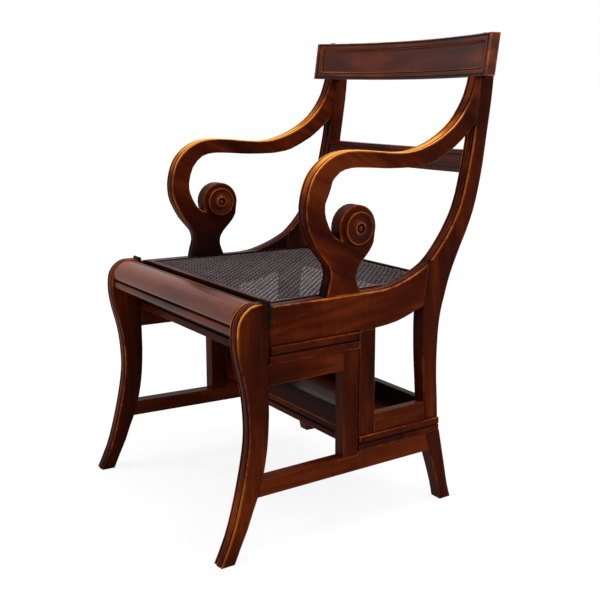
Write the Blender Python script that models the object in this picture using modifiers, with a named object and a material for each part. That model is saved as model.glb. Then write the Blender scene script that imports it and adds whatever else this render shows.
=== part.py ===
"""Library step chair: a caned armchair whose upper part tips forward to make four library steps.

Metres, +Z up. The chair faces -Y and stands on the floor at z = 0, and its origin is on the floor
under the middle of its footprint. Outlines are drawn from the hinge line: y = 0 is the seam behind
the front legs, and every object is then set back by the same distance. Left and right are the sitter's.
"""
import math

import bmesh
import bpy
from mathutils import Matrix, Vector, geometry

# Clearances between pieces
GAP = 0.0003             # pieces that are glued, screwed or resting together
WELD = 0.00001           # points closer than this are one point
SEAM = 0.0016            # open joint between the front legs and the swinging part
REST_GAP = 0.0008        # under each swinging tread, above the fixed tread that it rests on
POST_CLEAR = 0.0022      # between the fixed posts and the swinging posts behind them
EDGE = 0.0012            # small chamfer on sawn edges

# Side frames, seen from the front
HALF_WIDTH = 0.2766      # middle of the chair to the outer faces, at the hinge line
SIDE_THICK = 0.0285      # legs, rails, posts and arms
TAPER_SHARE = 0.0489     # how much each side draws in for each metre towards the back

# Seat, front legs and hinge line
SEAT_TOP = 0.4437        # top of the side seat rails
LEG_TOP = 0.4500
LEG_REACH = 0.0998       # seam to the toe of the front leg
SEAT_DEPTH = 0.4095      # seam to the back of the posts at seat height

# Fixed base
LOW_STEP = 0.1611
MID_STEP = 0.3591
FIXED_LOW_THICK = 0.0128
FIXED_MID_THICK = 0.0149
TREAD_PROUD = 0.0040     # how far the treads pass the side faces
MID_TREAD_DEPTH = 0.1945
LOW_TREAD_SHARE = 0.486  # depth of the low tread in seat depths
NOSING = 0.0018          # radius on the treads' edges
FIXED_POST_WIDE = 0.0332
TOP_RAIL_DEEP = 0.0369
SILL_BOTTOM = 0.1108
SILL_DEEP = 0.0302

# Swinging steps and tray
SWING_MID_THICK = 0.0149
SWING_LOW_THICK = 0.0139
SWING_TREAD_SET = 0.0017  # front edge of the third tread behind the seam's rear face
SWING_POST_WIDE = 0.0364
TRAY_WALL = 0.0175
TRAY_FRONT_TALL = 0.0380
TRAY_SIDE_TALL = 0.0367
TRAY_BACK_TALL = 0.0342
TRAY_BACK_SET = 0.0060   # front face of the tray's back rail behind the back leg's front edge

# Seat frame and cane
FRONT_RAIL_SET = 0.0040
FRONT_RAIL_THICK = 0.0180
FRONT_RAIL_PROUD = 0.0033
BACK_RAIL_THICK = 0.0195
BACK_RAIL_TALL = 0.0365
BACK_RAIL_SET = 0.0035
LEDGE_WIDE = 0.0117
LEDGE_TALL = 0.0122
CANE_THICK = 0.0024
CANE_PROUD = 0.0002      # cane above the rails' top
CANE_PITCH = 0.0360      # from one hole to the next along a row
CANE_STRAND = 0.0085
CANE_BORDER = 0.0110
SPLINE_WIDE = 0.0040
SPLINE_TALL = 0.0010

# Rolled front rail and its bead
ROLL_BACK = 0.0060       # rear face in front of the seam
ROLL_FRONT = 0.0583
ROLL_TOP = 0.4485
ROLL_BOTTOM = 0.3948
BEAD_TALL = 0.0169
BEAD_DEEP = 0.0178
ROLL_GROOVE = 0.0030

# Crest rail
CREST_PAST = 0.0296      # how far each end passes the side's outer face
CREST_BOTTOM = 0.8235
CREST_TALL = 0.0783
CREST_LEAN = 0.0110      # top edge behind the bottom edge
CREST_THICK = 0.0235
CREST_BOW = 0.0290
CREST_SLICES = 16
PANEL_END = 0.0190
PANEL_BORDER = 0.0140
PANEL_DEEP = 0.0030
PANEL_BEAD = 0.0012      # radius of the bead round the panel
CUT_OVERRUN = 0.0050
GLIDE_RADIUS = 0.0060
GLIDE_TALL = 0.0014
GLIDE_INSET = 0.0360     # from the crest rail's end

# Middle back rail
MID_RAIL_BOTTOM = 0.6437
MID_RAIL_TALL = 0.0428
MID_RAIL_THICK = 0.0160
MID_RAIL_SET = 0.0030    # behind the posts' front edge
MID_RAIL_BOW = 0.0280
MID_BEAD_TALL = 0.0075
MID_BEAD_PROUD = 0.0022

# Arms and roundels
ARM_REACH = 0.4031       # from the front of the scroll arm to the top of the post
SCROLL_RADIUS = 0.0405
ROUNDEL_RADIUS = 0.0293
ROUNDEL_PROUD = 0.0090
ROUNDEL_STEPS = 24

# Hinges and screws
KNUCKLE_RADIUS = 0.0030
AXIS_ABOVE_LEG = 0.0016
LEAF_TALL = 0.0405
LEAF_CLEAR = 0.0004      # half the gap between two closed leaves
KNUCKLE_GAP = 0.0004
PIN_RADIUS = 0.0010
PIN_CLEAR = 0.00015
SCREW_HEAD_RADIUS = 0.0030
SCREW_HEAD_DEEP = 0.0022
SCREW_RADIUS = 0.0013
SCREW_LONG = 0.0160
SCREW_SPREAD = 0.0200
HOLE_OVERRUN = 0.0010
ROUND_SIDES = 16
SCREW_SIDES = 10

# Lengthwise and upright shares of the outlines
LEG_FRONT_SHARES = [(0.246, 1.0), (0.353, 0.994), (0.461, 0.978), (0.544, 0.957), (0.598, 0.929),
                    (0.616, 0.889), (0.61, 0.84), (0.566, 0.782), (0.504, 0.727), (0.447, 0.671),
                    (0.41, 0.611), (0.388, 0.533), (0.396, 0.468), (0.45, 0.388), (0.536, 0.297),
                    (0.653, 0.195), (0.789, 0.101), (1.0, 0.0)]
LEG_REAR_SHARES = [(0.727, 0.0), (0.591, 0.067), (0.454, 0.13), (0.333, 0.2), (0.236, 0.251),
                   (0.145, 0.317), (0.101, 0.356), (0.049, 0.421), (0.017, 0.49), (0.0, 0.57)]
FOOT_FRONT_SHARES = [(0.892, 1.0), (0.898, 0.873), (0.912, 0.744), (0.946, 0.469), (0.976, 0.208),
                     (0.994, 0.0)]
FOOT_REAR_SHARES = [(1.060, 0.0), (1.038, 0.186), (1.015, 0.476), (0.992, 0.765), (0.973, 1.0)]
RAIL_TOP_SHARES = [(0.592, 0.0), (0.653, 0.006), (0.7, 0.018), (0.75, 0.035), (0.8, 0.056),
                   (0.848, 0.081), (0.881, 0.101)]
RAIL_BOTTOM_SHARES = [(0.561, 0.003), (0.624, 0.03), (0.657, 0.052), (0.705, 0.102), (0.755, 0.19),
                      (0.805, 0.291), (0.85, 0.392)]
POST_FRONT_SHARES = [(0.881, 0.101), (0.929, 0.15), (0.984, 0.22), (1.025, 0.285), (1.06, 0.352),
                     (1.086, 0.429), (1.105, 0.511), (1.123, 0.604), (1.138, 0.689), (1.148, 0.777)]
POST_REAR_SHARES = [(1.253, 1.0), (1.243, 0.892), (1.231, 0.799), (1.217, 0.695), (1.2, 0.567),
                    (1.179, 0.458), (1.151, 0.347), (1.11, 0.244), (1.07, 0.161), (1.031, 0.074),
                    (1.003, 0.0)]
BACK_LEG_REAR_SHARES = [(0.981, 0.889), (0.962, 0.791), (0.95, 0.675), (0.945, 0.545),
                        (0.944, 0.407), (0.947, 0.276), (0.954, 0.134), (0.959, 0.0)]
BACK_LEG_FRONT_SHARES = [(0.88, 0.0), (0.869, 0.127), (0.86, 0.298), (0.851, 0.47),
                         (0.847, 0.612), (0.846, 0.724), (0.85, 0.844)]
ARM_OUTER_SHARES = [(0.111, 0.0), (0.122, 0.052), (0.133, 0.095), (0.121, 0.149), (0.062, 0.224),
                    (0.014, 0.321), (0.002, 0.392), (0.005, 0.45), (0.021, 0.516), (0.048, 0.57),
                    (0.089, 0.613), (0.139, 0.645), (0.195, 0.662), (0.26, 0.667), (0.349, 0.662),
                    (0.446, 0.652), (0.528, 0.647), (0.601, 0.653), (0.671, 0.673), (0.736, 0.7),
                    (0.803, 0.74), (0.859, 0.786), (0.909, 0.847), (0.948, 0.917), (0.975, 1.0)]
ARM_LOWER_SHARES = [(0.93, 0.734), (0.843, 0.663), (0.721, 0.599), (0.651, 0.583), (0.586, 0.576),
                    (0.451, 0.577), (0.371, 0.583), (0.294, 0.588), (0.238, 0.588), (0.177, 0.572),
                    (0.123, 0.512), (0.099, 0.427), (0.105, 0.365), (0.135, 0.3), (0.159, 0.274),
                    (0.187, 0.258)]
ARM_STEM_SHARES = [(0.367, 0.236), (0.348, 0.202), (0.32, 0.17), (0.292, 0.138), (0.275, 0.106),
                   (0.272, 0.072), (0.281, 0.037), (0.294, 0.0)]
SCROLL_CENTRE_SHARE = (0.276, 0.311)
CREST_SET_SHARE = 1.125  # crest rail's front edge, in seat depths behind the seam
JOINT_TOP_SHARE = 1.173  # top of the joint between arm and post, in seat depths
SCROLL_TURN_SHARES = (0.579, -0.042)  # start and end of the scroll's edge, in turns
ROLL_SHARES = [(0.30, 1.0), (0.48, 0.975), (0.66, 0.90), (0.81, 0.76), (0.92, 0.57), (0.98, 0.34),
               (1.0, 0.0)]
ROLL_REED_SHARES = [(0.06, 0.93), (0.10, 0.98), (0.15, 0.90), (0.20, 1.0), (0.25, 0.93)]
BEAD_SHARES = [(0.80, 0.0), (0.93, 0.06), (1.0, 0.25), (1.0, 0.60), (0.93, 0.78), (0.86, 0.80)]
ROUNDEL_SHARES = [(0.0, 1.0), (0.09, 0.97), (0.15, 0.78), (0.22, 0.84), (0.33, 0.86), (0.40, 0.52),
                  (0.62, 0.42), (0.86, 0.52), (0.90, 0.66), (0.96, 0.66), (1.0, 0.54), (1.0, 0.0),
                  (0.0, 0.0)]
GLIDE_SHARES = [(0.0, 1.0), (0.45, 0.88), (0.80, 0.55), (1.0, 0.0), (0.0, 0.0)]
SPLINE_STEPS = 2
SCROLL_STEPS = 16

# Heights and depths that follow from the sizes above
INNER = HALF_WIDTH - SIDE_THICK
SEAM_FRONT = -SEAM / 2
SEAM_REAR = SEAM / 2
AXIS_Z = LEG_TOP + AXIS_ABOVE_LEG
NOTCH = KNUCKLE_RADIUS + GAP
LEAF_BOTTOM = AXIS_Z - LEAF_TALL
MID_BOTTOM = MID_STEP - FIXED_MID_THICK
LOW_BOTTOM = LOW_STEP - FIXED_LOW_THICK
MID_REAR = SEAM_FRONT + GAP + MID_TREAD_DEPTH
LOW_FRONT = MID_REAR + GAP
LOW_REAR = LOW_FRONT + SEAT_DEPTH * LOW_TREAD_SHARE
SWING_MID_TOP = MID_STEP + REST_GAP + SWING_MID_THICK
SWING_LOW_TOP = LOW_STEP + REST_GAP + SWING_LOW_THICK
RAIL_BOTTOM = SWING_MID_TOP + GAP
TRAY_FLOOR = SWING_LOW_TOP + GAP
SWING_POST_FRONT = MID_REAR + POST_CLEAR
SILL_TOP = SILL_BOTTOM + SILL_DEEP
CREST_FRONT = SEAT_DEPTH * CREST_SET_SHARE
CREST_HALF = HALF_WIDTH - TAPER_SHARE * CREST_FRONT + CREST_PAST
CREST_ANGLE = math.atan2(CREST_LEAN, CREST_TALL)


def crest_bow(x, bow=CREST_BOW):
    """How far the crest rail stands back at x, as a step back and a drop square to its lean."""
    back = bow * (1 - (x / CREST_HALF) ** 2)
    return back * math.cos(CREST_ANGLE), -back * math.sin(CREST_ANGLE)


JOINT_TOP = SEAT_DEPTH * JOINT_TOP_SHARE
POST_TOP = CREST_BOTTOM + crest_bow(INNER - TAPER_SHARE * JOINT_TOP)[1] - GAP
BACK_TALL = POST_TOP - SEAT_TOP


def spread(shares, y_zero, y_size, z_zero, z_size):
    """Share pairs as points in y and z."""
    return [(y_zero + y * y_size, z_zero + z * z_size) for y, z in shares]


def smooth(points, steps=SPLINE_STEPS):
    """A smooth line through the points, ends included."""
    marks = [Vector(point) for point in points]
    marks = [marks[0]] + marks + [marks[-1]]
    line = []
    for before, start, end, after in zip(marks, marks[1:], marks[2:], marks[3:]):
        leave = start + (end - before) / 6
        arrive = end - (after - start) / 6
        line += geometry.interpolate_bezier(start, leave, arrive, end, steps + 1)[:-1]
    return [tuple(point) for point in line] + [tuple(marks[-1])]


def crossing(line, value, along=1):
    """Where a line crosses a height (along=1) or a depth (along=0): the other coordinate."""
    other = 1 - along
    for start, end in zip(line, line[1:]):
        low, high = sorted((start[along], end[along]))
        if low <= value <= high and high > low:
            part = (value - start[along]) / (end[along] - start[along])
            return start[other] + part * (end[other] - start[other])
    nearest = min(line, key=lambda point: abs(point[along] - value))
    return nearest[other]


def edge_between(line, low, high, step):
    """The stretch of a side edge between two heights, from low to high, moved by a step in y."""
    inside = sorted((point for point in line if low < point[1] < high), key=lambda point: point[1])
    stretch = [(crossing(line, low), low)] + inside + [(crossing(line, high), high)]
    return [(y + step, z) for y, z in stretch]


def outlines():
    """The side pieces' edges, which their neighbours share."""
    seat = (0.0, SEAT_DEPTH)
    leg = (SEAM_FRONT, -LEG_REACH, 0.0, LEG_TOP)
    foot = seat + (0.0, LOW_BOTTOM - GAP)
    above = seat + (SEAT_TOP, BACK_TALL)
    below = seat + (TRAY_FLOOR, SEAT_TOP - TRAY_FLOOR)
    lines = {
        "leg_front": smooth(spread(LEG_FRONT_SHARES, *leg)),
        "leg_rear": smooth(spread(LEG_REAR_SHARES, *leg)),
        "foot_front": smooth(spread(FOOT_FRONT_SHARES, *foot)),
        "foot_rear": smooth(spread(FOOT_REAR_SHARES, *foot)),
        "rail_top": smooth(spread(RAIL_TOP_SHARES, *above)),
        "rail_bottom": smooth(spread(RAIL_BOTTOM_SHARES, *seat, RAIL_BOTTOM, SEAT_TOP - RAIL_BOTTOM)),
        "post_front": smooth(spread(POST_FRONT_SHARES, *above)),
        "post_rear": smooth(spread(POST_REAR_SHARES, *above)
                            + spread(BACK_LEG_REAR_SHARES, *below)),
        "back_leg_front": smooth(spread(BACK_LEG_FRONT_SHARES, *below)),
    }
    return lines


LINES = outlines()
JOINT_LOW = LINES["post_front"][-1]
CREST_REAR = CREST_FRONT + CREST_LEAN + CREST_THICK + crest_bow(0.0)[0]
TOE = min(y for y, z in LINES["leg_front"])
HINGE_Y = -(TOE + CREST_REAR) / 2

# Scene, collections and the two frames that carry the pieces
for thing in list(bpy.data.objects):
    bpy.data.objects.remove(thing, do_unlink=True)

chair = bpy.data.collections.new("library_step_chair")
cutters = bpy.data.collections.new("cutters")
for group in (chair, cutters):
    bpy.context.scene.collection.children.link(group)

base_frame = bpy.data.objects.new("base_frame", None)
base_frame.location = (0.0, HINGE_Y, 0.0)
swing_frame = bpy.data.objects.new("swing_frame", None)
swing_frame.location = (0.0, HINGE_Y, AXIS_Z)
for frame in (base_frame, swing_frame):
    chair.objects.link(frame)

# Finishes: base colour, metallic, roughness
FINISHES = {
    "mahogany": ((0.115, 0.026, 0.010, 1.0), 0.0, 0.32),
    "mahogany_dark": ((0.060, 0.016, 0.008, 1.0), 0.0, 0.38),
    "cane": ((0.055, 0.040, 0.034, 1.0), 0.0, 0.40),
    "bronze": ((0.070, 0.050, 0.035, 1.0), 0.9, 0.42),
}


def finish(name, kind):
    """The piece's own material."""
    colour, metallic, roughness = FINISHES[kind]
    coat = bpy.data.materials.new(name + "_" + kind)
    coat.use_nodes = True
    shader = coat.node_tree.nodes["Principled BSDF"]
    shader.inputs["Base Color"].default_value = colour
    shader.inputs["Metallic"].default_value = metallic
    shader.inputs["Roughness"].default_value = roughness
    return coat


def seat_piece(piece, swings, kind):
    """Hang a piece on the base or on the swinging frame, in its collection, with its finish."""
    for group in list(piece.users_collection):
        group.objects.unlink(piece)
    chair.objects.link(piece)
    piece.parent = swing_frame if swings else base_frame
    piece.location.z -= AXIS_Z if swings else 0.0
    piece.data.materials.clear()
    piece.data.materials.append(finish(piece.name, kind))
    return piece


def mesh_object(name, solid):
    """A bmesh as an object, faces out."""
    bmesh.ops.recalc_face_normals(solid, faces=solid.faces)
    mesh = bpy.data.meshes.new(name)
    solid.to_mesh(mesh)
    solid.free()
    piece = bpy.data.objects.new(name, mesh)
    bpy.context.scene.collection.objects.link(piece)
    return piece


def draw_in(piece, reach=0.0):
    """Follow the chair's taper: side pieces slide in, cross pieces of that reach grow shorter."""
    for vert in piece.data.vertices:
        share = vert.co.x / reach if reach else math.copysign(1.0, vert.co.x)
        vert.co.x -= share * TAPER_SHARE * vert.co.y
    return piece


def loft(name, rings):
    """A closed solid through rings of equally many points."""
    solid = bmesh.new()
    rows = [[solid.verts.new(point) for point in ring] for ring in rings]
    for row, after in zip(rows, rows[1:]):
        for index in range(len(row)):
            before = index - 1
            solid.faces.new((row[before], row[index], after[index], after[before]))
    solid.faces.new(rows[0])
    solid.faces.new(rows[-1])
    return mesh_object(name, solid)


def drawn_in(outline, amount):
    """A closed outline moved inwards by the amount, square to itself."""
    turn = sum(a[0] * b[1] - b[0] * a[1] for a, b in zip(outline, outline[1:] + outline[:1]))
    inward = 1 if turn > 0 else -1
    moved = []
    for index, point in enumerate(outline):
        here = Vector(point)
        arrive = (here - Vector(outline[index - 1])).normalized()
        leave = (Vector(outline[(index + 1) % len(outline)]) - here).normalized()
        normal = inward * Vector((-(arrive + leave).y, (arrive + leave).x)).normalized()
        spreading = max(normal.dot(inward * Vector((-leave.y, leave.x))), 0.5)
        moved.append(tuple(here + normal * amount / spreading))
    return moved


def plate(name, outline, x_low, x_high, edge=EDGE):
    """A sawn board of a side frame: an outline in y and z, chamfered on both faces."""
    narrow = drawn_in(outline, edge)
    layers = [(x_low, narrow), (x_low + edge, outline), (x_high - edge, outline), (x_high, narrow)]
    return draw_in(loft(name, [[(x, y, z) for y, z in line] for x, line in layers]))


def side_plates(stem, outline, swings, kind="mahogany", x_inner=INNER):
    """The same board on both sides of the chair."""
    for side, sign in (("left", 1), ("right", -1)):
        x_low, x_high = sorted((sign * x_inner, sign * HALF_WIDTH))
        piece = plate(stem + "_" + side, outline, x_low, x_high)
        seat_piece(piece, swings, kind)


def board(name, low, high, swings, kind="mahogany", edge=EDGE, rounds=1):
    """A plain board between two corners, with softened edges."""
    size = Vector(high) - Vector(low)
    bpy.ops.mesh.primitive_cube_add(size=1, location=(0.0, 0.0, 0.0))
    piece = bpy.context.object
    piece.name = name
    piece.data.name = name
    shape = Matrix.Translation((Vector(low) + Vector(high)) / 2) @ Matrix.Diagonal((*size, 1.0))
    piece.data.transform(shape)
    draw_in(piece, high[0] if low[0] < 0 < high[0] else 0.0)
    bevel = piece.modifiers.new("soft_edges", "BEVEL")
    bevel.width = edge
    bevel.segments = rounds
    return seat_piece(piece, swings, kind)


def bar(name, section, reach, swings, kind="mahogany", slices=1, bow=0.0):
    """A section in y and z carried across between the sides, bowed back where it has a bow."""
    rings = []
    for index in range(slices + 1):
        x = reach * (2 * index / slices - 1)
        back, drop = crest_bow(x, bow)
        rings.append([(x, y + back, z + drop) for y, z in section])
    return seat_piece(draw_in(loft(name, rings), reach), swings, kind)


def turned(name, profile, steps, place):
    """A turned piece: radius and height pairs, spun round its own Z and set by a matrix."""
    solid = bmesh.new()
    marks = [solid.verts.new((radius, 0.0, height)) for radius, height in profile]
    for start, end in zip(marks, marks[1:]):
        solid.edges.new((start, end))
    mesh = bpy.data.meshes.new(name)
    solid.to_mesh(mesh)
    solid.free()
    piece = bpy.data.objects.new(name, mesh)
    bpy.context.scene.collection.objects.link(piece)
    spin = piece.modifiers.new("turning", "SCREW")
    spin.steps = steps
    spin.render_steps = steps
    spin.use_merge_vertices = True
    spin.merge_threshold = WELD
    spin.use_smooth_shade = True
    piece.matrix_world = place
    return piece


def cut(piece, cutter, operation="DIFFERENCE"):
    """Take a cutter from a piece, or join it, and keep the result as the piece's mesh."""
    join = piece.modifiers.new("cut", "BOOLEAN")
    join.operation = operation
    join.object = cutter
    bpy.context.view_layer.update()
    seen = piece.evaluated_get(bpy.context.evaluated_depsgraph_get())
    mesh = bpy.data.meshes.new_from_object(seen)
    piece.modifiers.clear()
    old = piece.data
    piece.data = mesh
    bpy.data.meshes.remove(old)
    bpy.data.objects.remove(cutter, do_unlink=True)
    return piece


def rod(name, radius, start, end, sides=ROUND_SIDES):
    """A round cutter or rod between two points on one axis."""
    start, end = Vector(start), Vector(end)
    bpy.ops.mesh.primitive_cylinder_add(vertices=sides, radius=radius, depth=(end - start).length)
    piece = bpy.context.object
    piece.name = name
    turn = Vector((0.0, 0.0, 1.0)).rotation_difference(end - start).to_matrix().to_4x4()
    piece.data.transform(Matrix.Translation((start + end) / 2) @ turn)
    return piece


def block(name, low, high):
    """A plain block cutter between two corners."""
    bpy.ops.mesh.primitive_cube_add(size=1)
    piece = bpy.context.object
    piece.name = name
    size = Vector(high) - Vector(low)
    piece.data.transform(Matrix.Translation((Vector(low) + Vector(high)) / 2)
                         @ Matrix.Diagonal((*size, 1.0)))
    return piece


def hinge_screws():
    """Centre heights of the screws in a leaf."""
    middle = LEAF_BOTTOM + (LEAF_TALL - KNUCKLE_RADIUS) / 2
    return middle - SCREW_SPREAD / 2, middle + SCREW_SPREAD / 2


def screw_holes(stem, facing):
    """Pilot holes for the hinge screws in the left and right piece of the same board."""
    for side, sign in (("left", 1), ("right", -1)):
        piece = bpy.data.objects[stem + "_" + side]
        middle = sign * (HALF_WIDTH + INNER) / 2
        for height in hinge_screws():
            near = (middle, facing * (NOTCH - HOLE_OVERRUN), height)
            deep = (middle, facing * (LEAF_CLEAR + SCREW_LONG + HOLE_OVERRUN), height)
            hole = rod("pilot_hole", SCREW_RADIUS + GAP, near, deep, SCREW_SIDES)
            hole.parent = piece.parent
            hole.location = piece.location
            cut(piece, hole)


# Front legs, with the notch for the hinge leaf at the top of the rear edge
def front_legs():
    rear = LINES["leg_rear"]
    notch = [(SEAM_FRONT, LEAF_BOTTOM - GAP), (-NOTCH, LEAF_BOTTOM - GAP), (-NOTCH, LEG_TOP)]
    side_plates("front_leg", LINES["leg_front"] + rear + notch, False)
    screw_holes("front_leg", -1)


# Base side frames: post, top rail, sill and back foot
def base_sides():
    post_rear = MID_REAR
    post_front = post_rear - FIXED_POST_WIDE
    rail_top = MID_BOTTOM - GAP
    rail_bottom = rail_top - TOP_RAIL_DEEP
    side_plates("fixed_post", [(post_front, SILL_TOP + GAP), (post_rear, SILL_TOP + GAP),
                               (post_rear, rail_top), (post_front, rail_top)], False)
    leg_face = SEAM_FRONT + GAP
    side_plates("fixed_top_rail", [(leg_face, rail_bottom), (post_front - GAP, rail_bottom),
                                   (post_front - GAP, rail_top), (leg_face, rail_top)], False)
    sill_back = LOW_BOTTOM - GAP
    front_end = edge_between(LINES["leg_rear"], SILL_BOTTOM, SILL_TOP, GAP)
    rear_end = edge_between(LINES["foot_front"], SILL_BOTTOM, sill_back, -GAP)
    step = [(post_rear + GAP, sill_back), (post_rear + GAP, SILL_TOP)]
    side_plates("sill_rail", front_end[::-1] + rear_end + step, False)
    side_plates("back_foot", LINES["foot_front"] + LINES["foot_rear"], False)


# Fixed treads and swinging treads
def treads():
    wide = HALF_WIDTH + TREAD_PROUD
    board("middle_tread", (-wide, SEAM_FRONT + GAP, MID_BOTTOM), (wide, MID_REAR, MID_STEP), False,
          edge=NOSING, rounds=2)
    board("low_tread", (-wide, LOW_FRONT, LOW_BOTTOM), (wide, LOW_REAR, LOW_STEP), False,
          edge=NOSING, rounds=2)
    board("third_tread", (-wide, SEAM_REAR + SWING_TREAD_SET, MID_STEP + REST_GAP),
          (wide, MID_REAR, SWING_MID_TOP), True, edge=NOSING, rounds=2)
    board("top_tread", (-wide, SWING_POST_FRONT, LOW_STEP + REST_GAP),
          (wide, LOW_REAR, SWING_LOW_TOP), True, edge=NOSING, rounds=2)


# Rolled front rail between the front legs, and the bead under it
def front_rail():
    deep = ROLL_FRONT - ROLL_BACK
    roll_low = ROLL_BOTTOM + BEAD_TALL
    reeds = spread(ROLL_REED_SHARES, -ROLL_BACK, -deep, roll_low, ROLL_TOP - roll_low)
    roll = smooth(spread(ROLL_SHARES, -ROLL_BACK, -deep, roll_low + ROLL_GROOVE,
                         ROLL_TOP - roll_low - ROLL_GROOVE))
    bead_rear = -ROLL_FRONT + BEAD_DEEP
    section = [(-ROLL_BACK, ROLL_BOTTOM), (-ROLL_BACK, ROLL_TOP - ROLL_GROOVE)] + reeds + roll
    section += [(-ROLL_FRONT + ROLL_GROOVE, roll_low), (bead_rear, roll_low), (bead_rear, ROLL_BOTTOM)]
    bar("front_roll_rail", section, INNER - GAP, False)
    bead = smooth(spread(BEAD_SHARES, bead_rear - GAP, -BEAD_DEEP + GAP, ROLL_BOTTOM,
                         BEAD_TALL - GAP))
    bead += [(bead_rear - GAP, roll_low - GAP), (bead_rear - GAP, ROLL_BOTTOM)]
    bar("front_bead_moulding", bead, INNER - GAP, False)


# Side seat rails, which sweep up into the back posts
def side_seat_rails():
    front = [(SEAM_REAR, RAIL_BOTTOM), (SEAM_REAR, LEAF_BOTTOM - GAP),
             (NOTCH, LEAF_BOTTOM - GAP), (NOTCH, SEAT_TOP)]
    top = LINES["rail_top"][:-1] + [(LINES["rail_top"][-1][0] - GAP, LINES["rail_top"][-1][1])]
    bottom = LINES["rail_bottom"][:-1] + [(LINES["rail_bottom"][-1][0] - GAP,
                                           LINES["rail_bottom"][-1][1])]
    side_plates("side_seat_rail", front + top + bottom[::-1], True)
    screw_holes("side_seat_rail", 1)


# Back posts, each sawn in one piece from the tray up to the crest rail
def back_posts():
    top = [(JOINT_TOP, POST_TOP)]
    outline = top + LINES["post_rear"] + LINES["back_leg_front"] + LINES["post_front"]
    side_plates("back_post", outline, True)


# Scroll arms: one sawn piece from the seat rail round the scroll to the back post
def arm_outline():
    place = (JOINT_TOP - GAP - ARM_REACH, ARM_REACH, SEAT_TOP + GAP, BACK_TALL - GAP)
    outer = smooth(spread(ARM_OUTER_SHARES, *place))
    end = [(JOINT_TOP - GAP, POST_TOP)]
    lower = smooth([(JOINT_LOW[0] - GAP, JOINT_LOW[1])] + spread(ARM_LOWER_SHARES, *place))
    centre = spread([SCROLL_CENTRE_SHARE], *place)[0]
    first, last = (share * 2 * math.pi for share in SCROLL_TURN_SHARES)
    scroll = []
    for index in range(SCROLL_STEPS + 1):
        angle = first + (last - first) * index / SCROLL_STEPS
        scroll.append((centre[0] + SCROLL_RADIUS * math.cos(angle),
                       centre[1] + SCROLL_RADIUS * math.sin(angle)))
    stem = smooth(spread(ARM_STEM_SHARES, *place))
    return outer + end + lower[:-1] + scroll + stem, centre


def arms():
    outline, centre = arm_outline()
    side_plates("arm", outline, True)
    profile = [(radius * ROUNDEL_RADIUS, height * ROUNDEL_PROUD) for radius, height in ROUNDEL_SHARES]
    for side, sign in (("left", 1), ("right", -1)):
        for face, x, points in (("outer", HALF_WIDTH + GAP, sign), ("inner", INNER - GAP, -sign)):
            place = Matrix.Translation((sign * (x - TAPER_SHARE * centre[0]), *centre))
            place @= Matrix.Rotation(sign * math.atan(TAPER_SHARE), 4, "Z")
            place @= Matrix.Rotation(points * math.pi / 2, 4, "Y")
            piece = turned("roundel_" + side + "_" + face, profile, ROUNDEL_STEPS, place)
            seat_piece(piece, True, "mahogany")


# Crest rail with its sunk panel, the bead round the panel and the two glides
def crest_point(x, height, depth):
    """A point of the bowed crest rail: height up its face, depth behind its front."""
    back, drop = crest_bow(x)
    face = CREST_FRONT + CREST_LEAN * height / CREST_TALL
    return x, face + depth + back, CREST_BOTTOM + height + drop


def crest_block(name, reach, low, high, front, rear):
    """A bowed block of the crest rail's own curve."""
    rings = []
    for index in range(CREST_SLICES + 1):
        x = reach * (2 * index / CREST_SLICES - 1)
        rings.append([crest_point(x, low, front), crest_point(x, low, rear),
                      crest_point(x, high, rear), crest_point(x, high, front)])
    return loft(name, rings)


def crest():
    rail = crest_block("crest_rail", CREST_HALF, 0.0, CREST_TALL, 0.0, CREST_THICK)
    low, high = PANEL_BORDER, CREST_TALL - PANEL_BORDER
    reach = CREST_HALF - PANEL_END
    cut(rail, crest_block("panel_recess", reach, low, high, -CUT_OVERRUN, PANEL_DEEP))
    seat_piece(rail, True, "mahogany")
    inset = PANEL_BEAD + GAP
    depth = PANEL_DEEP - inset
    ends = [reach - inset, inset - reach]
    path = []
    for start, end, height in ((ends[0], ends[1], high - inset), (ends[1], ends[0], low + inset)):
        for index in range(CREST_SLICES + 1):
            x = start + (end - start) * index / CREST_SLICES
            path.append(crest_point(x, height, depth))
    curve = bpy.data.curves.new("crest_bead", "CURVE")
    curve.dimensions = "3D"
    curve.bevel_depth = PANEL_BEAD
    curve.bevel_resolution = 1
    run = curve.splines.new("POLY")
    run.points.add(len(path) - 1)
    for mark, point in zip(run.points, path):
        mark.co = (*point, 1.0)
    run.use_cyclic_u = True
    bead = bpy.data.objects.new("crest_bead", curve)
    bpy.context.scene.collection.objects.link(bead)
    seat_piece(bead, True, "mahogany")
    dome = [(radius * GLIDE_RADIUS, height * GLIDE_TALL) for radius, height in GLIDE_SHARES]
    for side, sign in (("left", 1), ("right", -1)):
        x, y, z = crest_point(sign * (CREST_HALF - GLIDE_INSET), CREST_TALL, CREST_THICK / 2)
        z = crest_point(abs(x) + GLIDE_RADIUS, CREST_TALL, 0.0)[2] + GAP
        place = Matrix.Translation((x, y, z))
        glide = turned("crest_glide_" + side, dome, ROUND_SIDES, place)
        seat_piece(glide, True, "mahogany_dark")


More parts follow.
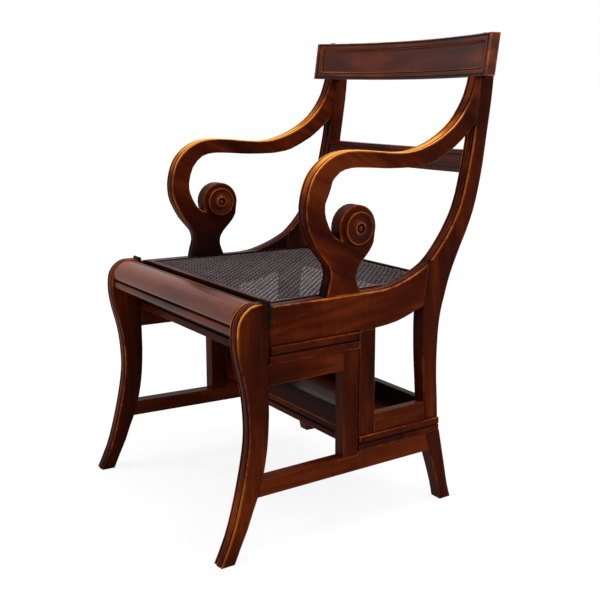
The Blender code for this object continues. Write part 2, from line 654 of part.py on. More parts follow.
# Middle back rail, bowed, with a bead along its top and bottom edge
def middle_rail():
    top = MID_RAIL_BOTTOM + MID_RAIL_TALL
    face_low = crossing(LINES["post_front"], MID_RAIL_BOTTOM) + MID_RAIL_SET
    face_high = crossing(LINES["post_front"], top) + MID_RAIL_SET
    back, drop = crest_bow(INNER, MID_RAIL_BOW)
    lean = (face_high - face_low) / MID_RAIL_TALL

    def at(height, depth):
        return face_low + height * lean + depth - back, MID_RAIL_BOTTOM + height - drop

    high_bead = MID_RAIL_TALL - MID_BEAD_TALL
    section = [at(0.0, 0.0), at(MID_BEAD_TALL, 0.0), at(MID_BEAD_TALL, MID_BEAD_PROUD),
               at(high_bead, MID_BEAD_PROUD), at(high_bead, 0.0), at(MID_RAIL_TALL, 0.0),
               at(MID_RAIL_TALL, MID_RAIL_THICK), at(0.0, MID_RAIL_THICK)]
    bar("middle_back_rail", section, INNER - GAP, True, slices=CREST_SLICES, bow=MID_RAIL_BOW)


# Tray under the seat: posts and walls that stand on the top tread
def tray():
    post_rear = SWING_POST_FRONT + SWING_POST_WIDE
    rail_low = [(SEAM_REAR, RAIL_BOTTOM)] + LINES["rail_bottom"]
    tops = [crossing(rail_low, y, along=0) - GAP for y in (SWING_POST_FRONT, post_rear)]
    side_plates("swing_post", [(SWING_POST_FRONT, TRAY_FLOOR), (post_rear, TRAY_FLOOR),
                               (post_rear, tops[1]), (SWING_POST_FRONT, tops[0])], True)
    wall_top = TRAY_FLOOR + TRAY_SIDE_TALL
    leg_low = crossing(LINES["back_leg_front"], TRAY_FLOOR) - GAP
    leg_high = crossing(LINES["back_leg_front"], wall_top) - GAP
    side_plates("tray_side_rail", [(post_rear + GAP, TRAY_FLOOR), (leg_low, TRAY_FLOOR),
                                   (leg_high, wall_top), (post_rear + GAP, wall_top)], True,
                x_inner=HALF_WIDTH - TRAY_WALL)
    board("tray_front_rail", (-INNER + GAP, SWING_POST_FRONT, TRAY_FLOOR),
          (INNER - GAP, SWING_POST_FRONT + TRAY_WALL, TRAY_FLOOR + TRAY_FRONT_TALL), True)
    back_front = leg_low + GAP + TRAY_BACK_SET
    board("tray_back_rail", (-INNER + GAP, back_front, TRAY_FLOOR),
          (INNER - GAP, back_front + TRAY_WALL, TRAY_FLOOR + TRAY_BACK_TALL), True)


# Seat frame between the side rails, the woven cane and its spline
def seat():
    inner = INNER - GAP
    front = SEAM_REAR + FRONT_RAIL_SET
    front_rear = front + FRONT_RAIL_THICK
    back_rear = SEAT_DEPTH - BACK_RAIL_SET
    back_front = back_rear - BACK_RAIL_THICK
    cane_low = SEAT_TOP + CANE_PROUD - CANE_THICK
    bearing = cane_low - GAP
    board("seat_front_rail", (-inner, front, RAIL_BOTTOM),
          (inner, front_rear, SEAT_TOP + FRONT_RAIL_PROUD), True)
    board("seat_back_rail", (-inner, back_front, bearing - BACK_RAIL_TALL),
          (inner, back_rear, bearing), True)
    for side, sign in (("left", 1), ("right", -1)):
        x_low, x_high = sorted((sign * (inner - LEDGE_WIDE), sign * inner))
        board("cane_ledge_" + side, (x_low, front_rear + GAP, bearing - LEDGE_TALL),
              (x_high, back_front - GAP, bearing), True, kind="mahogany_dark")
    cane_net((-inner, front_rear + GAP), (inner, back_rear), cane_low)
    cane_spline((-inner, front_rear + GAP), (inner, back_rear), cane_low + CANE_THICK + GAP)


def flat_curve(name, loops, low, thick):
    """Closed loops in x and y as one flat sheet, made a welded mesh."""
    curve = bpy.data.curves.new(name, "CURVE")
    curve.dimensions = "2D"
    curve.fill_mode = "BOTH"
    curve.extrude = thick / 2
    for loop in loops:
        run = curve.splines.new("POLY")
        run.points.add(len(loop) - 1)
        for mark, (x, y) in zip(run.points, loop):
            mark.co = (x, y, 0.0, 1.0)
        run.use_cyclic_u = True
    drawn = bpy.data.objects.new(name, curve)
    bpy.context.scene.collection.objects.link(drawn)
    bpy.context.view_layer.update()
    seen = drawn.evaluated_get(bpy.context.evaluated_depsgraph_get())
    solid = bmesh.new()
    solid.from_mesh(bpy.data.meshes.new_from_object(seen))
    bpy.data.objects.remove(drawn, do_unlink=True)
    bmesh.ops.remove_doubles(solid, verts=solid.verts, dist=WELD)
    bmesh.ops.translate(solid, verts=solid.verts, vec=(0.0, 0.0, low + thick / 2))
    return mesh_object(name, solid)


def rectangle(low, high):
    return [(low[0], low[1]), (high[0], low[1]), (high[0], high[1]), (low[0], high[1])]


def cane_net(low, high, height):
    """The cane: a net of diagonal strands, with staggered rows of diamond holes."""
    wide = high[0] - low[0] - 2 * CANE_BORDER
    deep = high[1] - low[1] - 2 * CANE_BORDER
    columns = max(int(wide / CANE_PITCH), 1)
    rows = max(int(deep / CANE_PITCH), 1)
    pitch_x, pitch_y = wide / columns, deep / rows
    half_x = (pitch_x - CANE_STRAND * math.sqrt(2)) / 2
    half_y = (pitch_y - CANE_STRAND * math.sqrt(2)) / 2
    loops = [rectangle(low, high)]
    for row in range(2 * rows - 1):
        stagger = row % 2
        for column in range(columns - stagger):
            x = low[0] + CANE_BORDER + pitch_x * (column + (1 + stagger) / 2)
            y = low[1] + CANE_BORDER + pitch_y * (row + 1) / 2
            loops.append([(x - half_x, y), (x, y - half_y), (x + half_x, y), (x, y + half_y)])
    net = draw_in(flat_curve("cane_panel", loops, height, CANE_THICK), high[0])
    seat_piece(net, True, "cane")


def cane_spline(low, high, height):
    """The strip that holds the cane's edge down all round."""
    inside = ((low[0] + SPLINE_WIDE, low[1] + SPLINE_WIDE), (high[0] - SPLINE_WIDE, high[1] - SPLINE_WIDE))
    loops = [rectangle(low, high), rectangle(*inside)]
    strip = draw_in(flat_curve("cane_spline", loops, height, SPLINE_TALL), high[0])
    seat_piece(strip, True, "mahogany_dark")


# Butt hinges in the seam, one at each side, with their pins and screws
def hinges():
    knuckle = (SIDE_THICK - 2 * KNUCKLE_GAP) / 3
    for side, sign in (("left", 1), ("right", -1)):
        x_low = min(sign * INNER, sign * HALF_WIDTH)
        x_high = x_low + SIDE_THICK
        middle = sign * (HALF_WIDTH + INNER) / 2
        near, far = middle - knuckle / 2, middle + knuckle / 2
        outer_gaps = ((x_low - HOLE_OVERRUN, near), (far, x_high + HOLE_OVERRUN))
        inner_gap = ((near - KNUCKLE_GAP, far + KNUCKLE_GAP),)
        for part, facing, swings, gaps in (("fixed", -1, False, inner_gap),
                                           ("swing", 1, True, outer_gaps)):
            section = leaf_section(facing)
            leaf = loft("hinge_leaf_" + side + "_" + part,
                        [[(x, y, z) for y, z in section] for x in (x_low, x_high)])
            for low, high in gaps:
                cut(leaf, block("knuckle_space",
                                (low, -NOTCH, AXIS_Z - KNUCKLE_RADIUS - KNUCKLE_GAP),
                                (high, NOTCH, AXIS_Z + NOTCH)))
            cut(leaf, rod("bore", PIN_RADIUS + PIN_CLEAR, (x_low - HOLE_OVERRUN, 0.0, AXIS_Z),
                          (x_high + HOLE_OVERRUN, 0.0, AXIS_Z)))
            for index, height in enumerate(hinge_screws()):
                centre = (middle, facing * LEAF_CLEAR, height)
                outwards = Matrix.Translation(centre) @ Matrix.Rotation(facing * math.pi / 2, 4, "X")
                cut(leaf, screw("countersink", GAP, HOLE_OVERRUN, outwards))
                name = "hinge_screw_" + side + "_" + part + "_" + str(index + 1)
                seat_piece(screw(name, 0.0, 0.0, outwards), swings, "bronze")
            seat_piece(leaf, swings, "bronze")
        pin = rod("hinge_pin_" + side, PIN_RADIUS, (x_low + GAP, 0.0, AXIS_Z),
                  (x_high - GAP, 0.0, AXIS_Z))
        seat_piece(pin, False, "bronze")


def leaf_section(facing):
    """A leaf and its rolled knuckle in y and z."""
    last = 2 * math.pi - math.acos(LEAF_CLEAR / KNUCKLE_RADIUS)
    section = [(facing * LEAF_CLEAR, LEAF_BOTTOM), (facing * KNUCKLE_RADIUS, LEAF_BOTTOM)]
    for index in range(ROUND_SIDES):
        angle = last * index / (ROUND_SIDES - 1)
        section.append((facing * KNUCKLE_RADIUS * math.cos(angle),
                        AXIS_Z + KNUCKLE_RADIUS * math.sin(angle)))
    return section


def screw(name, clear, above, place):
    """A countersunk screw, pointing down its own Z, or the hole that it seats in."""
    head, shank = SCREW_HEAD_RADIUS + clear, SCREW_RADIUS + clear
    profile = [(0.0, above), (head, above), (head, 0.0), (shank, -SCREW_HEAD_DEEP),
               (shank, clear - SCREW_LONG + SCREW_RADIUS), (0.0, -SCREW_LONG)]
    if not above:
        profile = profile[:1] + profile[2:]
    return turned(name, profile, SCREW_SIDES, place)


front_legs()
base_sides()
treads()
front_rail()
side_seat_rails()
back_posts()
arms()
crest()
middle_rail()
tray()
seat()
hinges()
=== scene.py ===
"""Library step chair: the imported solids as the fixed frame, dressed as the mahogany and cane chair."""
import math

import bmesh
import bpy
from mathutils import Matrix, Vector


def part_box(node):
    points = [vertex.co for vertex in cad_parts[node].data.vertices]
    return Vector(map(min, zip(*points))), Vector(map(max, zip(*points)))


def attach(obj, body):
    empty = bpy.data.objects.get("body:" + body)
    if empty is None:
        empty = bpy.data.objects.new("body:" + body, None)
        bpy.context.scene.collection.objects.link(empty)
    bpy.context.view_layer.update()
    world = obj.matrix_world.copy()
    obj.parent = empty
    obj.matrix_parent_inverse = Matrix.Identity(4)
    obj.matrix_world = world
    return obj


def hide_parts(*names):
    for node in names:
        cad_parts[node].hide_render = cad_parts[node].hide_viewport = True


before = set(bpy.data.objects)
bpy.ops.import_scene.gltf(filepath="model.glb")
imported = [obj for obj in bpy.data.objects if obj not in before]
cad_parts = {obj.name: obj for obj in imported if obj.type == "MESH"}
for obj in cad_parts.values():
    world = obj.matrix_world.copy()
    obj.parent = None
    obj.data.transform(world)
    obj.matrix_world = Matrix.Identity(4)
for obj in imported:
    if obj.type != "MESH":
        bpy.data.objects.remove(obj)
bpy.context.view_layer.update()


# FRONT LEGS
# Two sabre legs, sawn from mahogany board and polished. The front edge is worked with a scratch
# stock from the toe over the top: a fillet at each side, a sunk line inside it and a wide flat reed
# between. The polish has rubbed through to orange on the edges.
HINGE_Y = -0.21165       # the seam behind the legs
OUTER_X = 0.2766         # outer face of a side piece at the seam
TAPER = 0.0489           # each side draws in towards the back
SIDE_THICK = 0.0285
CHAMFER = 0.0012
INSIDE_CHAMFER = CHAMFER * 1.5    # what lies deeper is past the chamfer
WELD = 0.00001
ON_LINE = WELD * 3       # points this close to a depth lie on its line
LEG_REEDING = ((-0.3112, 0.0), (-0.2740, 0.3500), (-0.2130, 0.4500))    # toe, front, top, as y and z
REED = ((0.0032, 0.0002, 0.60), (0.0040, -0.0018, -1.0), (0.0070, -0.0018, -1.0),
        (0.0078, 0.0000, 0.45), (0.0104, 0.0004, 0.15))    # in from the face, lift, wear; below nought is dark wax and painted shade
REED_MIDDLE = (0.0006, 0.20)    # lift and wear
RUBBED = 0.0032          # width of the rubbed margin on the side faces
OUTER_EDGE = (0.35, 0.65)       # wear on the chamfer's outer edge: plain, and along the reeding
INNER_EDGE = (0.50, 0.85)       # wear on its inner edge
KNEE = (0.1400, 0.3600)  # between these heights the edges are rubbed less
SPARED = 0.6             # the share of the wear that is left there and on the right leg
SHOULDER = 0.4000        # above this height the edges are rubbed more, and golden in part as painted highlight
# raise of the edge marks above it: wear with painted highlight
SHOULDER_WEAR_AND_HIGHLIGHT = 0.35
EDGE_WEAR = 0.6          # marks above this are on edges
SEAM_REACH = 0.0085      # painted shade lies this near the seam
# painted shade on the seam's edges
SEAM_SHADE = -0.4
SOLE = 0.0025            # lower than this, the reeding ends square on the floor
SHARP = math.radians(52)
FLAT = math.radians(0.2)
FACING = 0.99            # a face turned this squarely to an axis faces it
SIDES = (("left", 1), ("right", -1))


def hold(piece):
    """Select one piece alone."""
    bpy.ops.object.select_all(action="DESELECT")
    bpy.context.view_layer.objects.active = piece
    piece.select_set(True)


def edit(piece):
    """Go into edit mode on one piece with all of it selected."""
    hold(piece)
    bpy.ops.object.mode_set(mode="EDIT")
    bpy.ops.mesh.select_all(action="SELECT")


def pick(piece, kind, wanted):
    """Select only the faces or the vertices that a test wants."""
    bpy.ops.mesh.select_mode(type={"faces": "FACE", "verts": "VERT"}[kind])
    bpy.ops.mesh.select_all(action="DESELECT")
    shape = bmesh.from_edit_mesh(piece.data)
    for part in getattr(shape, kind):
        if wanted(part):
            part.select_set(True)
    bmesh.update_edit_mesh(piece.data)


def cut(place, outward, clear=False):
    """Cut a line round the whole piece along a plane, and clear what lies outside it if asked to."""
    bpy.ops.mesh.select_all(action="SELECT")
    bpy.ops.mesh.bisect(plane_co=place, plane_no=outward, clear_outer=clear)


def done(piece, angle=SHARP):
    """Shade a finished piece smooth, with its real corners kept."""
    hold(piece)
    bpy.ops.object.shade_smooth_by_angle(angle=angle)


def worked_copy(node, name):
    """A copy of a sawn piece to work on, its triangles joined into whole faces, left in edit mode."""
    piece = bpy.data.objects.new(name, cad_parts[node].data.copy())
    piece.data.name = name
    piece.data.materials.clear()
    bpy.context.scene.collection.objects.link(piece)
    edit(piece)
    bpy.ops.mesh.remove_doubles(threshold=WELD)
    bpy.ops.mesh.dissolve_limited(angle_limit=FLAT)
    return piece


def depth_in(point, side):
    """How far a point is in from the outer face of its side of the chair."""
    return OUTER_X - TAPER * (point.y - HINGE_Y) - side * point.x


def side_place(y, z):
    """A place in the side view, to a tenth of a millimetre."""
    return round(y, 4), round(z, 4)


def saw_lines(side, depths):
    """Cut lines round the whole piece at these depths from the outer face."""
    for depth in depths:
        cut((side * (OUTER_X - depth), HINGE_Y, 0.0), (side, TAPER, 0.0))


def ring_at(shape, side, depth):
    """The points round the piece at a depth, in order, as y and z."""
    near = {vert for vert in shape.verts if abs(depth_in(vert.co, side) - depth) < ON_LINE}
    start = min(near, key=lambda vert: (vert.co.z, vert.co.y))
    ring, before = [start], None
    while True:
        after = [edge.other_vert(ring[-1]) for edge in ring[-1].link_edges]
        after = [vert for vert in after if vert in near and vert is not before]
        if len(ring) > 1 and start in after:
            return [Vector((vert.co.y, vert.co.z)) for vert in ring]
        before = ring[-1]
        ring.append(after[0])


def stretch(ring, marks):
    """The stretch of a ring from the first mark past the second to the third."""
    count = len(ring)
    first, middle, last = (min(range(count), key=lambda index: (ring[index] - Vector(mark)).length)
                           for mark in marks)
    path = [(first + step) % count for step in range((last - first) % count + 1)]
    if middle not in path:
        path = [(first - step) % count for step in range((first - last) % count + 1)]
    return {side_place(*ring[index]) for index in path}


def rub(piece, side, worked=()):
    """Give the side faces a margin, and mark their edges as rubbed, most along the reeding."""
    pick(piece, "faces", lambda face: abs(face.normal.x) > FACING
         and min(abs(depth_in(face.calc_center_median(), side)),
                 abs(depth_in(face.calc_center_median(), side) - SIDE_THICK)) < ON_LINE)
    bpy.ops.mesh.inset(thickness=RUBBED, use_even_offset=True)
    bpy.ops.object.mode_set(mode="OBJECT")
    mesh = piece.data
    calm = {index for face in mesh.polygons if face.select for index in face.vertices}
    wear_and_light = mesh.attributes.get("wear_and_light") or mesh.attributes.new("wear_and_light", "FLOAT", "POINT")
    for index, vert in enumerate(mesh.vertices):
        depth = depth_in(vert.co, side)
        margin = min(depth, SIDE_THICK - depth)
        reeded = any(abs(y - vert.co.y) + abs(z - vert.co.z) < CHAMFER * 3 for y, z in worked)
        if index in calm:
            wear_and_light.data[index].value = 0.0
        elif margin < CHAMFER / 2:
            wear_and_light.data[index].value = OUTER_EDGE[reeded]
        elif margin < INSIDE_CHAMFER:
            wear_and_light.data[index].value = INNER_EDGE[reeded]


def reed(piece, side, marks):
    """Work the reeding along one stretch of a sawn piece's edge, and mark where it is rubbed."""
    lines = [(SIDE_THICK / 2, *REED_MIDDLE)]
    for depth, lift, wear_and_shade in REED:
        lines += [(depth, lift, wear_and_shade), (SIDE_THICK - depth, lift, wear_and_shade)]
    saw_lines(side, [line[0] for line in lines])
    shape = bmesh.from_edit_mesh(piece.data)
    shape.verts.layers.float.new("wear_and_light")
    worked = stretch(ring_at(shape, side, REED[0][0]), marks)
    for depth, lift, wear_and_shade in lines:
        pick(piece, "verts", lambda vert: abs(depth_in(vert.co, side) - depth) < ON_LINE
             and side_place(vert.co.y, vert.co.z) in worked)
        shape = bmesh.from_edit_mesh(piece.data)
        for vert in shape.verts:
            if vert.select:
                vert[shape.verts.layers.float["wear_and_light"]] = wear_and_shade
        bpy.ops.transform.shrink_fatten(value=lift)
    rub(piece, side, worked)


def set_wear_and_light(piece, test, value):
    """Change the mark of the points that a test wants; the marks hold wear, dark wax with painted shade,
    and golden wear with painted highlight.
    """
    wear_and_light = piece.data.attributes["wear_and_light"].data
    for index, vert in enumerate(piece.data.vertices):
        if test(vert):
            wear_and_light[index].value = value(vert, wear_and_light[index].value)


def shade_seam(piece):
    """Painted shade on the edges at the seam behind the legs and round the hinges, in place of rubbing.
    """
    set_wear_and_light(piece, lambda vert: abs(vert.co.y - HINGE_Y) < SEAM_REACH,
             lambda vert, wear_and_light: min(wear_and_light, SEAM_SHADE))


def add(tree, kind, inputs=(), **settings):
    """A shader node with its settings, and its inputs linked or set."""
    node = tree.nodes.new(kind)
    for key, value in settings.items():
        setattr(node, key, value)
    for socket, value in dict(inputs).items():
        if isinstance(value, bpy.types.NodeSocket):
            tree.links.new(value, node.inputs[socket])
        else:
            node.inputs[socket].default_value = value
    return node


def new_group(name, takes, gives):
    """A shader node group with named inputs and outputs."""
    group = bpy.data.node_groups.new(name, "ShaderNodeTree")
    for way, sockets in (("INPUT", takes), ("OUTPUT", gives)):
        for socket, kind in sockets.items():
            group.interface.new_socket(socket, in_out=way, socket_type="NodeSocket" + kind)
    entry = group.nodes.new("NodeGroupInput").outputs
    leave = group.nodes.new("NodeGroupOutput").inputs
    return group, entry, leave


def new_material(name):
    """A material with its node tree and its main shader."""
    coat = bpy.data.materials.new(name)
    coat.use_nodes = True
    return coat, coat.node_tree, coat.node_tree.nodes["Principled BSDF"]


def maths(tree, operation, *values):
    """A maths node's result."""
    return add(tree, "ShaderNodeMath", dict(enumerate(values)), operation=operation).outputs[0]


def stretched(tree, vector, factors):
    """A vector with its parts multiplied."""
    return add(tree, "ShaderNodeVectorMath", {0: vector, 1: factors}, operation="MULTIPLY").outputs[0]


def noise(tree, vector, scale, detail, rough, twist=0.0):
    """A noise value between 0 and 1."""
    return add(tree, "ShaderNodeTexNoise", {"Vector": vector, "Scale": scale, "Detail": detail,
                                            "Roughness": rough, "Distortion": twist}).outputs[0]


def ramped(tree, value, low, high):
    """A value eased from 0 at low to 1 at high."""
    return add(tree, "ShaderNodeMapRange", {"Value": value, "From Min": low, "From Max": high},
               interpolation_type="SMOOTHSTEP").outputs[0]


def blended(tree, share, first, second):
    """Two colours mixed."""
    return add(tree, "ShaderNodeMix", {0: share, 6: first, 7: second}, data_type="RGBA").outputs[2]


STREAKS = ((1.0, 1.0, 0.09), (48.0, 3.0, 0.55, 0.5), 0.30)    # stretch, noise, share of the tone
PORES = ((1.0, 1.0, 0.03), (520.0, 2.0, 0.6), 0.10)
PATCHES = ((1.0, 1.0, 0.4), (11.0, 2.0, 0.5, 0.3), 0.50)
RIPPLE = ((0.15, 0.15, 1.0), (75.0, 1.0, 0.4, 0.4), 0.06)
TONE_LIFT = 0.02
DARK_TO_BODY = (0.38, 0.52)
BODY_TO_BRIGHT = (0.49, 0.63)
PORE_DEPTH = 0.6         # against the streaks


def figure_group():
    """Mahogany's figure with the grain along Z: broad streaks, fine pores, slow patches, faint ripple."""
    group, entry, leave = new_group("mahogany_figure", {"Vector": "Vector", "Dark": "Color",
                                                        "Body": "Color", "Bright": "Color"},
                                    {"Color": "Color", "Height": "Float", "Sheen": "Float"})
    tone, parts = 0.0, []
    for factors, look, share in (STREAKS, PATCHES, PORES, RIPPLE):
        parts.append(noise(group, stretched(group, entry["Vector"], factors), *look))
        tone = maths(group, "MULTIPLY_ADD", parts[-1], share, tone)
    streaks, patches, pores = parts[:3]
    tone = maths(group, "ADD", tone, TONE_LIFT)
    colour = blended(group, ramped(group, tone, *DARK_TO_BODY), entry["Dark"], entry["Body"])
    colour = blended(group, ramped(group, tone, *BODY_TO_BRIGHT), colour, entry["Bright"])
    group.links.new(colour, leave["Color"])
    group.links.new(maths(group, "MULTIPLY_ADD", pores, PORE_DEPTH, streaks), leave["Height"])
    group.links.new(patches, leave["Sheen"])
    return group


BREAKS = ((75.0, 5.0, 0.65), 1.8)       # fine noise and slow noise that break up the rubbed edges
DRIFT = ((8.0, 1.0, 0.5), 2.2)
BARE = (2.10, 3.30)      # mark and noise together: from polished to rubbed through
BARE_MARKS = (0.0, 0.5)
BARE_SHARE = 0.9
GOLD_AND_HIGHLIGHT_MARKS = (0.9, 1.2)  # higher marks turn from orange to golden, in part painted highlight
WAX_AND_SHADE_MARKS = (0.1, 0.9)   # how far below nought, for dark wax and painted shade
POLISH_ROUGH = 0.20
PATCH_ROUGH = 0.22       # more by the slow patches, by bare wood and by wax
BARE_ROUGH = 0.06
WAX_AND_SHADE_ROUGH = 0.2


def wear_and_light_group():
    """Polish rubbed through on the edges to orange wood, golden at the highest marks in part as painted
    highlight, and below nought dark wax with painted shade.
    """
    group, entry, leave = new_group("polish_wear_and_light", {"Vector": "Vector", "Color": "Color",
                                                      "WearAndLight": "Float", "Rubbed": "Color",
                                                      "GoldenAndHighlight": "Color", "WaxAndShade": "Color",
                                                      "Sheen": "Float"},
                                    {"Color": "Color", "Roughness": "Float"})
    level = entry["WearAndLight"]
    for look, pull in (BREAKS, DRIFT):
        level = maths(group, "MULTIPLY_ADD", noise(group, entry["Vector"], *look), pull, level)
    bare = ramped(group, level, *BARE)
    bare = maths(group, "MULTIPLY", bare, ramped(group, entry["WearAndLight"], *BARE_MARKS))
    wood = blended(group, ramped(group, entry["WearAndLight"], *GOLD_AND_HIGHLIGHT_MARKS), entry["Rubbed"], entry["GoldenAndHighlight"])
    colour = blended(group, maths(group, "MULTIPLY", bare, BARE_SHARE), entry["Color"], wood)
    sunk = ramped(group, maths(group, "MULTIPLY", entry["WearAndLight"], -1.0), *WAX_AND_SHADE_MARKS)
    colour = blended(group, sunk, colour, entry["WaxAndShade"])
    group.links.new(colour, leave["Color"])
    matt = maths(group, "MULTIPLY_ADD", entry["Sheen"], PATCH_ROUGH, POLISH_ROUGH)
    matt = maths(group, "MULTIPLY_ADD", bare, BARE_ROUGH, matt)
    group.links.new(maths(group, "MULTIPLY_ADD", sunk, WAX_AND_SHADE_ROUGH, matt), leave["Roughness"])
    return group


ARRIS_TURN = (0.985, 0.85)       # how square the surface is to an axis: on a flat, on an edge
SHUT_SHADE_REACH = (0.0026, 0.0014)    # painted shade in a shut gap begins this far from it and is full this near
# strength of the painted shade in a shut gap
SHUT_SHADE = 2.0


def arris_group():
    """How rubbed a plain board is: on its softened edges, with painted shade at the height where it is
    shut in.
    """
    group, entry, leave = new_group("board_arris", {"Vector": "Vector", "Normal": "Vector",
                                                    "Amount": "Float", "Shut": "Float"},
                                    {"WearAndLight": "Float"})
    square = add(group, "ShaderNodeVectorMath", {0: entry["Normal"]}, operation="ABSOLUTE").outputs[0]
    x, y, z = add(group, "ShaderNodeSeparateXYZ", {0: square}).outputs
    most = maths(group, "MAXIMUM", maths(group, "MAXIMUM", x, y), z)
    edge = maths(group, "MULTIPLY", ramped(group, most, *ARRIS_TURN), entry["Amount"])
    height = add(group, "ShaderNodeSeparateXYZ", {0: entry["Vector"]}).outputs[2]
    gap = maths(group, "ABSOLUTE", maths(group, "SUBTRACT", height, entry["Shut"]))
    shut_shade = maths(group, "MULTIPLY", ramped(group, gap, *SHUT_SHADE_REACH), ramped(group, z, *ARRIS_TURN))
    shut_shade = maths(group, "MULTIPLY", shut_shade, SHUT_SHADE)
    group.links.new(maths(group, "SUBTRACT", edge, shut_shade), leave["WearAndLight"])
    return group


FIGURE = figure_group()
POLISH_WEAR_AND_LIGHT = wear_and_light_group()
ARRIS = arris_group()
DARK = (0.022, 0.0030, 0.0011, 1.0)
BODY = (0.052, 0.0062, 0.0012, 1.0)
BRIGHT = (0.118, 0.0185, 0.0030, 1.0)
ORANGE = (0.420, 0.0950, 0.0090, 1.0)
# bare wood at the highest marks, brightened in part as painted highlight
GOLDEN_AND_HIGHLIGHT = (0.740, 0.3100, 0.0500, 1.0)
# dark wax, also the painted shade of sunk lines, gaps, seams and shaded faces, and the darkest tone of
# some pieces
WAX_AND_SHADE = (0.006, 0.0025, 0.0018, 1.0)
GRAIN_TURNS = {"up": (0.0, 0.0, 0.0), "along": (math.pi / 2, 0.0, 0.0), "across": (0.0, math.pi / 2, 0.0)}
GRAIN_BUMP = {"Strength": 0.12, "Distance": 0.0006}
LOG_STEP = 0.37          # from one piece's place in the log to the next, and its shares in y and z
LOG_SHARES = (1.7, 0.6)
POLISHED = []            # the pieces so far, which set the next one's place in the log


def polish(piece, grain, lean=0.0, wear_and_shade="marked", tones=(DARK, BODY, BRIGHT), gloss=0.02, amount=0.3,
           shut=0.0):
    """Polished mahogany, each piece from its own part of the log; wear and painted light are marked, on
    edges or none.
    """
    coat, tree, shader = new_material("polish_" + piece.name)
    POLISHED.append(piece.name)
    log = LOG_STEP * len(POLISHED)
    spot = add(tree, "ShaderNodeTexCoord").outputs
    turn = list(GRAIN_TURNS[grain])
    turn[0] += lean
    place = add(tree, "ShaderNodeMapping", {"Vector": spot["Object"], "Rotation": turn, "Location": (
        log, LOG_SHARES[0] * log, LOG_SHARES[1] * log)}).outputs[0]
    wood = add(tree, "ShaderNodeGroup", {"Vector": place, "Dark": tones[0], "Body": tones[1],
                                         "Bright": tones[2]}, node_tree=FIGURE).outputs
    wear_and_light = 0.0
    if wear_and_shade == "marked":
        wear_and_light = add(tree, "ShaderNodeAttribute", attribute_name="wear_and_light").outputs["Fac"]
    elif wear_and_shade == "edges":
        wear_and_light = add(tree, "ShaderNodeGroup", {"Vector": spot["Object"], "Normal": spot["Normal"],
                                             "Amount": amount, "Shut": shut},
                   node_tree=ARRIS).outputs["WearAndLight"]
    surface = add(tree, "ShaderNodeGroup", {"Vector": place, "Color": wood["Color"], "WearAndLight": wear_and_light,
                                            "Rubbed": ORANGE, "GoldenAndHighlight": GOLDEN_AND_HIGHLIGHT, "WaxAndShade": WAX_AND_SHADE,
                                            "Sheen": wood["Sheen"]}, node_tree=POLISH_WEAR_AND_LIGHT).outputs
    bump = add(tree, "ShaderNodeBump", {"Height": wood["Height"], **GRAIN_BUMP}).outputs[0]
    tree.links.new(surface["Color"], shader.inputs["Base Color"])
    tree.links.new(surface["Roughness"], shader.inputs["Roughness"])
    tree.links.new(bump, shader.inputs["Normal"])
    shader.inputs["Specular IOR Level"].default_value = gloss
    piece.data.materials.clear()
    piece.data.materials.append(coat)


for name, side in SIDES:
    leg = worked_copy("front_leg_" + name, "front_leg_reeded_" + name)
    reed(leg, side, LEG_REEDING)
    set_wear_and_light(leg, lambda vert: vert.co.z > SHOULDER,
             lambda vert, wear_and_light: wear_and_light + SHOULDER_WEAR_AND_HIGHLIGHT if wear_and_light > EDGE_WEAR else wear_and_light)
    set_wear_and_light(leg, lambda vert: KNEE[0] < vert.co.z < KNEE[1] or side < 0,
             lambda vert, wear_and_light: min(wear_and_light, SPARED * abs(wear_and_light)))
    for vert in leg.data.vertices:
        depth = depth_in(vert.co, side)
        if vert.co.z < SOLE and INSIDE_CHAMFER < depth < SIDE_THICK - INSIDE_CHAMFER:
            vert.co.z = 0.0
    shade_seam(leg)
    done(leg)
    polish(leg, "up")
    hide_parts("front_leg_" + name)
    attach(leg, "base")


# FRONT ROLL RAIL AND BEAD
# A half-round mahogany rail between the front legs with two small beads along its back edge, and a
# round moulding glued under it. Both show long soft reflections, and the roll's light tones are
# partly painted highlight.
CORNER = math.radians(20)        # edges that turn more are corners
ROUND = math.radians(40)         # edges that turn less are shaded smooth
# dark wax and painted shade in the roll's inner corners
ROLL_WAX_AND_SHADE = -1.8
ROLL_LOOKS = (("front_roll_rail", "front_roll", (BODY, BRIGHT, BRIGHT), 0.18),
              ("front_bead_moulding", "front_bead", (DARK, BODY, BRIGHT), 0.10))    # tones and gloss; the roll's light tones are partly painted highlight


def mark_corners(piece, sunk, rubbed=0.0):
    """Mark a piece's outer corners as rubbed and its inner corners as dark with wax and painted shade."""
    shape = bmesh.from_edit_mesh(piece.data)
    marks = {}
    for edge in shape.edges:
        if len(edge.link_faces) == 2:
            angle = edge.calc_face_angle_signed()
            for vert in edge.verts:
                if angle < -CORNER:
                    marks[vert.index] = sunk
                elif angle > CORNER:
                    marks.setdefault(vert.index, rubbed)
    bpy.ops.object.mode_set(mode="OBJECT")
    wear_and_light = piece.data.attributes.new("wear_and_light", "FLOAT", "POINT")
    for index, value in marks.items():
        wear_and_light.data[index].value = value


for node, name, tones, gloss in ROLL_LOOKS:
    rail = worked_copy(node, name)
    mark_corners(rail, ROLL_WAX_AND_SHADE)
    done(rail, ROUND)
    polish(rail, "across", gloss=gloss, tones=tones)
    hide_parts(node)
    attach(rail, "base")


